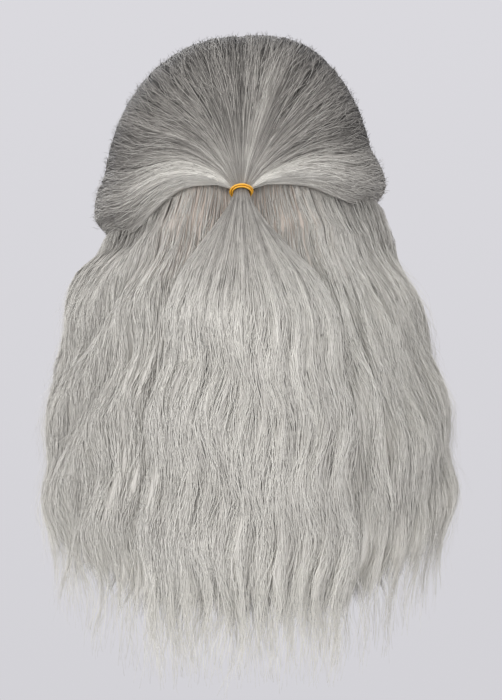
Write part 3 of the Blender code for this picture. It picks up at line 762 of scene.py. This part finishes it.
def net_finish(name):
    """Elastic net: threads at the edges of small cells, crossed by the lines of stitching of the wefts."""
    finish = Finish(name, Roughness=0.8, Specular_IOR_Level=0.25)
    wig = bpy.context.scene.half_up_wig
    place = finish.place()
    cells = finish.node("TexVoronoi", {"feature": "DISTANCE_TO_EDGE"}, {"Vector": place, "Scale": 520.0})
    thread = finish.node("MapRange", {}, {0: cells, 1: 0.05, 2: 0.22, 3: 1.0, 4: 0.0})
    level = finish.node("SeparateXYZ", {}, {0: place}, "Z") * (2 * math.pi / 0.008)
    sag = finish.noise(place, (35, 35, 10)) * 4.0
    weft = finish.node("Math", {"operation": "SINE"}, {0: level + sag})
    seam = finish.node("MapRange", {}, {0: weft, 1: 0.1, 2: 0.9, 3: 0.0, 4: 0.75})
    tuft = finish.noise(place, (900, 900, 120), 3.0) * 0.5 + 0.6
    net = finish.blend(thread, opaque(wig.net, 0.7), opaque(wig.net))
    finish.use("Base Color", finish.blend(seam * tuft, net, opaque(wig.middle)))
    finish.use("Roughness", thread * 0.15 + 0.7)
    finish.bump(thread + seam * 2.0, 0.0004)
    return finish.material


def rubber_finish(name):
    """Amber rubber, glossy, with a little cloudiness."""
    finish = Finish(name, Roughness=0.3, Specular_IOR_Level=0.5, Coat_Weight=0.35, Coat_Roughness=0.2)
    wig = bpy.context.scene.half_up_wig
    cloud = finish.noise(finish.place(), (420, 420, 420))
    pale = opaque(wig.rubber, (1.25, 1.5, 2.5))
    finish.use("Base Color", finish.blend(cloud + 0.5, opaque(wig.rubber), pale))
    finish.use("Roughness", cloud * 0.2 + 0.3)
    finish.bump(cloud, 0.0002)
    return finish.material


def wear(piece, material):
    """Gives a piece its material, and says what it rides on."""
    piece.data.materials.append(material)
    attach(piece, "root")


# The fields of light and warmth over the masses


def crown_light(share, run):
    """Dark grey from the hairline over the top, lighter where the side hair sweeps in above the tie. Towards
    the swept hair's lower edges it is lighter, partly as painted light that lifts the shade where the lobes
    turn under, with painted fill light in the lobes' lower corners.
    """
    side = np.abs(share)
    sweep = smooth((side - 0.58) / 0.22) * smooth((run - 0.53) / 0.26) * np.where(share > 0, 0.78, 0.52)
    centre = smooth(1 - np.abs(share + 0.17) / 0.10) * smooth((run - 0.45) / 0.35)
    # edge is partly painted light: it lightens the swept hair towards its lower edges and the lobes' lower
    # corners, which turn down into shade.
    edge = smooth((side - 0.66) / 0.30) + smooth((side - 0.80) / 0.15) * smooth((0.5 - run) / 0.3)
    length = 0.24 * smooth((run - 0.26) / 0.54) + 0.20 * smooth((run - 0.80) / 0.15)
    return length + 0.05 * smooth((side - 0.3) / 0.2) + 0.31 * edge + 0.28 * sweep + 0.22 * centre


def bands(share, run):
    """Broad lighter and darker locks: sines of the share, bent a little along the run."""
    bent = share + 0.03 * np.sin(5 * run)
    return 0.035 * np.sin(21 * bent + 1.2) + 0.022 * np.sin(47 * bent + 2.5 * run)


def tail_light(share, run):
    """Grey at the tie and silver below, with painted light on the ends that lifts the shade where the
    thinning ends turn down.
    """
    top = smooth((run - 0.01) / 0.25)
    # Painted light: the last of the run is lighter to lift the shade on the thinning ends.
    return mix(0.26, 0.785, top) + 0.28 * smooth((run - 0.68) / 0.24) + bands(share, run)


def loose_light(share, run):
    """Mid grey under the swept hair and silver below, with painted light on the ends that lifts their shade,
    most in the middle of the back, where the ponytail shades them.
    """
    top = smooth(run / 0.25)
    # Painted light: ends lifts the shade on the ends, most behind the ponytail, which shades them there.
    ends = mix(0.30, 0.12, smooth((np.abs(share) - 0.16) / 0.12)) * smooth((run - 0.65) / 0.22)
    return mix(0.56, 0.79, top) + ends + bands(2 * share, run)


def loose_warm(share, run):
    """Tan where the cap shows between the strands beside the tie."""
    return (1 - smooth((np.abs(share) - 0.18) / 0.25)) * (1 - smooth((run - 0.06) / 0.22))


# Pieces


def dress_mass(name, node, form, shares, columns, rows, first, ends, light, warm, material, fading=1.0):
    """The mass itself: the form's inside, and its outside let down by mass_drop under the strands. It is
    painted darker than its strands as painted shade, and its inside darker still as painted shade. It thins
    and frays over the last of its length where fading is 1."""
    wig = bpy.context.scene.half_up_wig
    share = np.broadcast_to(np.linspace(*shares, columns), (rows, columns))
    down = np.broadcast_to(np.linspace(0, 1, rows)[:, None], (rows, columns))
    run = mix(first, ends(share), down)
    inner, outer, _ = form(share, run, wig.mass_relief)
    depth = np.maximum(np.linalg.norm(outer - inner, axis=-1), 1e-5)
    outer = mix(outer, inner, turned(np.minimum(wig.mass_drop / depth, 0.4)))
    ending = fading * smooth((down - 0.8) / 0.2)
    inner = mix(inner, outer, turned(0.85 * ending))
    # Painted shade: the mass is darker than its strands outside, and darker still on its inside.
    shade = np.array((OUTER_PAINTED_SHADE, INNER_PAINTED_SHADE))[:, None, None]
    numbers = {"light": light(share, run) - shade, "warm": warm(share, run), "fade": 1 - ending}
    piece = mass_object(name, inner, outer, numbers)
    wear(piece, material)
    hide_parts(node)


def comb_out(name, hair, width, tip, light, tone, material, warm=0.0, narrowing=1.0):
    """Makes a piece of laid strands, whose width narrows to its share tip at the ends, and by narrowing."""
    numbers = {"light": light, "warm": warm, "tone": tone[:, None]}
    piece = strand_object(name, hair.paths, hair.out, tapered(hair, width, tip) * narrowing, numbers)
    wear(piece, material)


def mostly(random, share, usual, low, high, count):
    """The usual number for a share of the strands, and random ones from low to high for the others."""
    return np.where(random.random(count) < share, usual, random.uniform(low, high, count))


def ragged(share, spacing, deepest):
    """Ends of the small locks of a mass: from 1 down to 1 - deepest, by two sine waves of the share."""
    first = np.sin(2 * math.pi * share / spacing + 3 * np.sin(9 * share))
    second = np.sin(2 * math.pi * share / (spacing * 0.43) + 1.0)
    return 1 - deepest * (0.5 + 0.3 * first + 0.2 * second)


def no_warm(share, run):
    """No tan anywhere."""
    return 0 * share


class WIG_OT_cap(bpy.types.Operator):
    """Net cap: keeps its solid and gets the look of an elastic net with wefts"""

    bl_idname = "wig.cap"
    bl_label = "Net cap"

    def execute(self, context):
        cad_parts["net_cap"].material_slots[0].material = net_finish("cap net")
        return {"FINISHED"}


class WIG_OT_swept_hair(bpy.types.Operator):
    """Hair swept back from the hairline to the tie"""

    bl_idname = "wig.swept_hair"
    bl_label = "Swept hair"

    def execute(self, context):
        wig = context.scene.half_up_wig
        random = np.random.default_rng(11)
        dress_mass(
            "swept_hair_mass", "swept_crown_hair", crown_form, (1, -1), 6 * CROWN_LOCKS + 1, 44, 0.0,
            np.ones_like, crown_light, no_warm, mass_finish("swept hair mass"), 0.0,
        )
        count = wig.swept_strands
        start = np.maximum(random.random(count) ** 1.6 * 0.5 - 0.04, 0.0)
        end = mostly(random, 0.72, 0.995, 0.55, 0.95, count)
        hair = Hair(
            random, crown_form, 0.2, count, 13, (-1, 1), 90, (start, end),
            lambda run: 0.12 * smooth((run - 0.05) / 0.7), (0.0080, 0.0080),
        )
        deep = hair.at_edge(0.955)[:, None]
        hair.lay((hair.middle * LOCK_RISE + random.uniform(-0.0004, 0.0006, count))[:, None], deep)
        free = smooth((1 - hair.run) / 0.3) * smooth(hair.run / 0.1)
        hair.wave(hair.own, wig.frizz * 0.6 * free, 0.030)
        width = wig.strand_width * random.uniform(*STRAND_WIDTHS, count)
        # Painted shade: strands between two small locks, which lie lower, are darker than those at a lock's
        # middle.
        light = crown_light(hair.share, hair.run) + 0.03 * (hair.middle[:, None] - 0.5)
        comb_out(
            "swept_hair_strands", hair, width, 0.6, light, hair.tones(2.0, 0.9),
            strand_finish("swept hair strands", CROWN_SHINE),
            narrowing=mix(1, 0.6, smooth((hair.run - 0.8) / 0.2)),
        )
        return {"FINISHED"}


class WIG_OT_tie(bpy.types.Operator):
    """Rubber tie wound round the gathered hair"""

    bl_idname = "wig.tie"
    bl_label = "Hair tie"

    def execute(self, context):
        """The band's middle goes TIE_TURNS times round the bundle while it winds once round itself."""
        steps, sides = 240, 12
        t = np.linspace(0, 2 * math.pi, steps, endpoint=False)
        middle = BUNDLE_RADIUS + BUNDLE_GAP + TIE_STRAND / 2 + TIE_PITCH
        angle = t * TIE_TURNS
        path = bundle_point(angle, middle + TIE_PITCH * np.cos(t), TIE_PITCH * np.sin(t))
        way = unit(np.roll(path, -1, 0) - np.roll(path, 1, 0))
        outward = spoke(angle)
        side = unit(np.cross(way, outward))
        up = np.cross(side, way)
        k = np.linspace(0, 2 * math.pi, sides, endpoint=False)
        ring = side[:, None] * np.cos(k)[None, :, None] + up[:, None] * np.sin(k)[None, :, None]
        points = (path[:, None] + ring * TIE_STRAND / 2).reshape(-1, 3)
        row, column = np.meshgrid(np.arange(steps), np.arange(sides), indexing="ij")
        next_row, next_column = (row + 1) % steps, (column + 1) % sides
        corners = [(row, column), (next_row, column), (next_row, next_column), (row, next_column)]
        faces = np.stack([(r * sides + c).ravel() for r, c in corners], -1)
        u = np.stack([row, row + 1, row + 1, row], -1).reshape(-1, 4) / steps
        v = np.stack([column, column, column + 1, column + 1], -1).reshape(-1, 4) / sides
        piece = mesh_object("hair_tie_band", points, [faces], {"OFBake": np.stack([u, v], -1)}, {})
        wear(piece, rubber_finish("amber rubber"))
        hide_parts("hair_tie")
        return {"FINISHED"}


class WIG_OT_ponytail(bpy.types.Operator):
    """Ponytail below the tie"""

    bl_idname = "wig.ponytail"
    bl_label = "Ponytail"

    def execute(self, context):
        wig = context.scene.half_up_wig
        random = np.random.default_rng(23)
        dress_mass(
            "ponytail_mass", "ponytail", tail_form, (1, -1), 8 * TAIL_LOCKS + 1, 48, 0.0,
            lambda share: ragged(share, 0.11, 0.08), tail_light, no_warm,
            mass_finish("ponytail mass"),
        )
        count = wig.ponytail_strands
        start = mostly(random, 0.75, 0.0, 0.0, 0.2, count)
        hair = Hair(
            random, tail_form, 0.5, count, 24, (-1, 1), 64, (start, random.uniform(0.86, 1.05, count)),
            lambda run: 0.11 * smooth((run - 0.15) / 0.8), (0.024, 0.026), 0.15,
        )
        proud = (hair.middle * LOCK_RISE + random.uniform(*STRAND_RISES, count))[:, None]
        hair.lay(proud * smooth(hair.run / 0.12 + 0.2), hair.at_edge(0.975)[:, None])
        free = smooth((hair.run - 0.05) / 0.35)
        hair.long_bends(wig.long_wave * free, LONG_WAVE_LENGTH, 3.0)
        hair.wave(hair.lock, wig.lock_wave * free, 0.080)
        hair.wave(hair.own, wig.frizz * free * mix(0.8, 2.4, hair.run), 0.052, 0.25)
        width = wig.strand_width * random.uniform(*STRAND_WIDTHS, count)
        # Painted shade: strands between two small locks, which lie lower, are darker than those at a lock's
        # middle.
        light = tail_light(hair.share, hair.run) + 0.02 * (hair.middle[:, None] - 0.5)
        material = strand_finish("ponytail strands")
        comb_out("ponytail_strands", hair, width, 0.3, light, hair.tones(1.4, 0.6), material)
        return {"FINISHED"}


class WIG_OT_loose_hair(bpy.types.Operator):
    """Loose hair on the left, the back and the right"""

    bl_idname = "wig.loose_hair"
    bl_label = "Loose hair"

    def execute(self, context):
        wig = context.scene.half_up_wig
        gap = SECTION_GAP / (LOOSE_FRONT_TURN * 2 * HEAD[0])
        mass, strands = mass_finish("loose hair mass"), strand_finish("loose hair strands")
        for name, left, right, count, seed in (
            ("left", 1.0, BACK_SHARE + gap, wig.side_strands, 31),
            ("back", BACK_SHARE - gap, gap - BACK_SHARE, wig.back_strands, 37),
            ("right", -gap - BACK_SHARE, -1.0, wig.side_strands, 41),
        ):
            dress_mass(
                name + "_hair_mass", name + "_loose_hair", loose_form, (left, right), 81, 48, LOOSE_ROOT,
                lambda share: ragged(share, 0.04, 0.06), loose_light, loose_warm, mass,
            )
            self.lay_strands(wig, name, (right, left), count, seed, strands)
        self.lay_front(wig, "left", 1, strands)
        self.lay_front(wig, "right", -1, strands)
        return {"FINISHED"}

    def lay_front(self, wig, name, side, material):
        """Strands over the front edge of a side's mass, through its whole depth."""
        random = np.random.default_rng(61 + side)
        count = wig.front_strands
        start = mostly(random, 0.7, LOOSE_ROOT, 0.0, 0.4, count)
        hair = Hair(
            random, loose_form, 1.0, count, 14, sorted((side, 0.992 * side)), 12,
            (start, random.uniform(0.80, 1.04, count)), lambda run: 0 * run, (0.004, 0.004),
        )
        deep = random.random(count)[:, None] + 0.12 * wander(random, hair.own, hair.run, 4)
        hair.lay(0 * hair.run, np.clip(deep, 0, 1))
        hair.out = side * vectors(hair.out[..., 1], -hair.out[..., 0], 0 * hair.run)
        hair.spread(0 * hair.run, random.uniform(0.0001, 0.0016, count)[:, None] * smooth(hair.run / 0.08))
        hair.wave(hair.own, 1.5 * wig.frizz * smooth(hair.run / 0.2), 0.044)
        tone = random.normal(0, 1.6, count)
        width = wig.strand_width * random.uniform(0.8, 1.3, count)
        light = loose_light(hair.share, hair.run)
        comb_out(name + "_front_strands", hair, width, 0.3, light, tone, material)

    def lay_strands(self, wig, name, shares, count, seed, material):
        """Strands over a mass. INSIDE_SHARE of them lie on its inside, those at the front edge lie through
        its depth, and just below the swept hair they fill the shoulder that it leaves."""
        random = np.random.default_rng(seed)
        start = mostly(random, 0.8, LOOSE_ROOT, 0.0, 0.3, count)
        hair = Hair(
            random, loose_form, 0.5, count, 22, shares, 46, (start, random.uniform(0.84, 1.045, count)),
            lambda run: 0.11 * smooth((run - 0.10) / 0.85), (0.0085, 0.0080), 0.25 if name == "back" else 0.0,
        )
        inside = random.random(count) < INSIDE_SHARE
        deep = np.where(inside, 1.0, hair.at_edge(0.965))
        facing = np.where(inside, -1.0, 1.0)
        proud = (hair.middle * LOCK_RISE + random.uniform(*STRAND_RISES, count))[:, None]
        proud = proud * smooth(hair.run / 0.10)
        away = np.abs(hair.share)
        shoulder = 0.35 * smooth((away - 0.30) / 0.2) + 0.65 * smooth((away - 0.52) / 0.2)
        shoulder = shoulder * smooth(hair.run / 0.025) * smooth((0.15 - hair.run) / 0.11) * ~inside[:, None]
        proud = proud + wig.shoulder * random.random(count)[:, None] ** 0.7 * shoulder
        hair.lay(proud * facing[:, None], deep[:, None])
        hair.out = hair.out * facing[:, None, None]
        free = smooth((hair.run - 0.08) / 0.3)
        hair.long_bends(wig.long_wave * free, LONG_WAVE_LENGTH, 7.0)
        hair.wave(hair.lock, wig.lock_wave * free, 0.078)
        hair.wave(hair.own, wig.frizz * free * mix(1.0, 2.4, hair.run), 0.044, 0.25)
        width = wig.strand_width * random.uniform(*STRAND_WIDTHS, count)
        tone = hair.tones(1.6, 0.5)
        # Painted shade: strands between two small locks, which lie lower, are darker than those at a lock's
        # middle.
        light = loose_light(hair.share, hair.run) + 0.02 * (hair.middle[:, None] - 0.5)
        warm = loose_warm(hair.share, hair.run) * (random.random(count) < TAN_SHARE)[:, None]
        comb_out(name + "_hair_strands", hair, width, 0.3, light, tone, material, warm=warm)


class WIG_OT_flyaways(bpy.types.Operator):
    """Fine strands that stand off the hair"""

    bl_idname = "wig.flyaways"
    bl_label = "Flyaway strands"

    def execute(self, context):
        wig = context.scene.half_up_wig
        random = np.random.default_rng(53)
        material = strand_finish("flyaway strands")
        count = wig.flyaways // 3
        for name, shares, lighter in (
            ("flyaway_strands", (-1, 1), 0.10),
            ("left_flyaway_strands", (0.40, 0.92), -0.04),
            ("right_flyaway_strands", (-0.92, -0.40), -0.04),
        ):
            start = random.uniform(-0.01, 0.7, count)
            end = np.minimum(start + random.uniform(0.18, 0.5, count), 1.03)
            hair = Hair(
                random, loose_form, 0.5, count, 12, shares, 40, (start, end),
                lambda run: 0.2 * run, (0.01, 0.02),
            )
            hair.lay(0 * hair.run)
            s = np.linspace(0, 1, hair.rings)
            outwards = np.minimum(random.gamma(2.0, 0.0032, count), FLYAWAY_REACH)[:, None] * s**1.3
            sideways = np.clip(random.normal(0, 0.005, count), -0.008, 0.008)[:, None] * s**2
            hair.spread(sideways, outwards)
            hair.wave(hair.own, random.uniform(0.001, 0.0035, count)[:, None] * s, 0.038, 0.9)
            width = wig.flyaway_width * random.uniform(0.7, 1.2, count)
            light = loose_light(hair.share, hair.run) + lighter
            comb_out(name, hair, width, 0.4, light, random.normal(0, 1, count), material)
        count = wig.crown_flyaways
        start = random.uniform(0.0, 0.62, count)
        end = start + random.uniform(0.08, 0.24, count)
        hair = Hair(
            random, crown_form, 0.2, count, 5, (-1, 1), 60, (start, end), lambda run: 0 * run, (0.004, 0.014)
        )
        hair.lay(0 * hair.run)
        s = np.linspace(0, 1, hair.rings)
        outwards = np.minimum(random.gamma(3.0, 0.0009, count), CROWN_FLYAWAY_REACH)[:, None] * s**1.2
        hair.spread(random.normal(0, 0.003, count)[:, None] * s**2, outwards)
        hair.wave(hair.own, 0.0006 * s, 0.02, 0.9)
        width = np.full(count, wig.flyaway_width * 0.8)
        # Painted light: the flyaways grow lighter towards their tips, which stand off the hair out of its
        # shade.
        light = crown_light(hair.share, hair.run) + mix(0.05, 0.42, s)
        tone = random.normal(0, 1, count)
        material = strand_finish("crown flyaway strands", CROWN_SHINE)
        comb_out("crown_flyaway_strands", hair, width, 0.4, light, tone, material)
        return {"FINISHED"}


class WIG_OT_stage(bpy.types.Operator):
    """Pale studio floor, soft lights, the backdrop and the camera"""

    bl_idname = "wig.stage"
    bl_label = "Stage"

    def execute(self, context):
        scene = context.scene
        wig = scene.half_up_wig
        scene.view_settings.view_transform = "Standard"
        scene.view_settings.look = "None"
        camera = bpy.data.objects.new("camera", bpy.data.cameras.new("camera"))
        camera.location = (-0.0063, CAMERA_DISTANCE, -0.1953)
        camera.rotation_euler = (math.radians(90), 0, math.radians(180))
        camera.data.lens = camera.data.sensor_width * CAMERA_DISTANCE / PHOTO_HEIGHT
        camera.data.clip_end = 50
        scene.collection.objects.link(camera)
        scene.camera = camera
        for name, place, size, power in (
            ("key", (0.8, 2.4, 1.3), 1.8, 28),
            ("left_fill", (2.0, 1.6, 0.1), 1.8, 25),
            ("right_fill", (-1.9, 1.7, 0.2), 1.8, 21),
            ("overhead", (0.0, -0.2, 2.0), 2.2, 11),
            ("front", (0.6, -2.2, 0.8), 1.8, 22),
        ):
            lamp = bpy.data.objects.new(name, bpy.data.lights.new(name, "AREA"))
            lamp.data.shape = "DISK"
            lamp.data.size = size
            lamp.data.energy = power
            lamp.location = place
            aim = np.array((0, 0, -0.18)) - place
            lamp.rotation_euler = (
                math.atan2(math.hypot(aim[0], aim[1]), -aim[2]), 0, math.atan2(aim[1], aim[0]) - math.pi / 2
            )
            scene.collection.objects.link(lamp)
        self.floor(wig)
        self.backdrop(wig)
        return {"FINISHED"}

    def floor(self, wig):
        """A round slab: the circle at each radius of its profile."""
        rows, sides = ((1.2, 0.0), (1.23, -0.01), (1.24, -0.03)), 96
        turn = np.linspace(0, 2 * math.pi, sides, endpoint=False)
        points = [vectors(r * np.sin(turn), r * np.cos(turn), FLOOR_HEIGHT + z + 0 * turn) for r, z in rows]
        points = np.concatenate([[[0, 0, FLOOR_HEIGHT]], *points])
        k = np.arange(sides)
        after = (k + 1) % sides
        middle = np.stack([0 * k, after + 1, k + 1], -1)
        ring = np.stack([k, after, after + sides, k + sides], -1) + 1
        rings = [ring + n * sides for n in range(len(rows) - 1)]
        floor = mesh_object("studio_floor", points, [middle, *rings], {}, {})
        finish = Finish("pale paper", Roughness=0.9, Specular_IOR_Level=0.1)
        grain = finish.noise(finish.place(), (60, 60, 60), 4.0)
        finish.use("Base Color", finish.blend(grain + 0.5, opaque(wig.paper, 0.98), opaque(wig.paper, 1.02)))
        floor.data.materials.append(finish.material)

    def backdrop(self, wig):
        """The light all round: a little paler above than below."""
        studio = Backdrop("studio")
        level = studio.node("SeparateXYZ", {}, {0: studio.node("TexCoord", {}, {}, "Generated")}, "Z")
        high = studio.node("MapRange", {}, {0: level, 1: -0.15, 2: 0.15, 3: 0.0, 4: 1.0})
        studio.use("Color", studio.blend(high, opaque(wig.backdrop_low), opaque(wig.backdrop_high)))
        bpy.context.scene.world = studio.world


def length(name, description, default, **limits):
    """A property in metres."""
    return FloatProperty(
        name=name, description=description, default=default, unit="LENGTH", precision=5, **limits
    )


def colour(name, description, default):
    """A property that holds a colour."""
    return FloatVectorProperty(
        name=name, description=description, default=default, subtype="COLOR", min=0, max=1
    )


def number(name, description, default):
    """A property that counts strands."""
    return IntProperty(name=name, description=description, default=default, min=10, soft_max=default * 2)


class HalfUpWig(bpy.types.PropertyGroup):
    """Sizes and colours of the wig's hair"""

    swept_strands: number("Swept strands", "Strands swept back to the tie", 2600)
    ponytail_strands: number("Ponytail strands", "Strands of the ponytail", 1300)
    side_strands: number("Side strands", "Strands of the loose hair on each side", 1150)
    back_strands: number("Back strands", "Strands of the loose hair behind the ponytail", 520)
    front_strands: number("Front strands", "Strands over the front edge of the loose hair on each side", 240)
    flyaways: number("Flyaways", "Fine strands that stand off the loose hair", 1020)
    crown_flyaways: number("Crown flyaways", "Short fine strands that stand off the swept hair", 1900)
    strand_width: length("Strand width", "Width of a strand", 0.00055, min=0.0001)
    flyaway_width: length("Flyaway width", "Width of a fine strand", 0.00030, min=0.0001)
    mass_drop: length("Mass drop", "How far a mass lies under its strands", 0.0003)
    mass_relief: FloatProperty(name="Mass relief", description="Share of the locks' relief", default=0.65)
    shoulder: length("Shoulder", "How far loose strands stand out just below the swept hair", 0.015)
    long_wave: length("Long wave", "Half the width of the bends that neighbouring locks share", 0.0028)
    lock_wave: length("Lock wave", "Half the width of a small lock's bends", 0.0011)
    frizz: length("Frizz", "Half the width of a strand's small bends", 0.0008)
    dark: colour("Dark grey", "Hair at the roots", (0.034, 0.031, 0.028))
    middle: colour("Mid grey", "Hair between the roots and the silver", (0.405, 0.387, 0.353))
    silver: colour("Silver", "Hair at its lightest", (0.78, 0.763, 0.70))
    tan: colour("Tan", "Hair with the cap showing through", (0.53, 0.455, 0.39))
    net: colour("Net", "Threads of the cap's net", (0.68, 0.56, 0.47))
    rubber: colour("Rubber", "The tie's rubber", (0.70, 0.32, 0.015))
    paper: colour("Paper", "The studio's floor", (0.60, 0.596, 0.615))
    backdrop_low: colour("Backdrop, low", "The light round the wig below it", (0.645, 0.638, 0.672))
    backdrop_high: colour("Backdrop, high", "The light round the wig above it", (0.708, 0.701, 0.738))


class WIG_PT_panel(bpy.types.Panel):
    """The wig's pieces, sizes and colours"""

    bl_label = "Half-up wig"
    bl_idname = "WIG_PT_panel"
    bl_space_type = "VIEW_3D"
    bl_region_type = "UI"
    bl_category = "Wig"

    def draw(self, context):
        for name in HalfUpWig.__annotations__:
            self.layout.prop(context.scene.half_up_wig, name)
        for piece in PIECES:
            self.layout.operator(piece.bl_idname)


PIECES = (
    WIG_OT_cap,
    WIG_OT_swept_hair,
    WIG_OT_tie,
    WIG_OT_ponytail,
    WIG_OT_loose_hair,
    WIG_OT_flyaways,
    WIG_OT_stage,
)
CLASSES = (HalfUpWig, *PIECES, WIG_PT_panel)


def register():
    for item in CLASSES:
        bpy.utils.register_class(item)
    bpy.types.Scene.half_up_wig = PointerProperty(type=HalfUpWig)


def unregister():
    del bpy.types.Scene.half_up_wig
    for item in reversed(CLASSES):
        bpy.utils.unregister_class(item)


def main():
    register()
    bpy.ops.wig.cap()
    bpy.ops.wig.swept_hair()
    bpy.ops.wig.tie()
    bpy.ops.wig.ponytail()
    bpy.ops.wig.loose_hair()
    bpy.ops.wig.flyaways()
    bpy.ops.wig.stage()


if __name__ == "__main__":
    main()
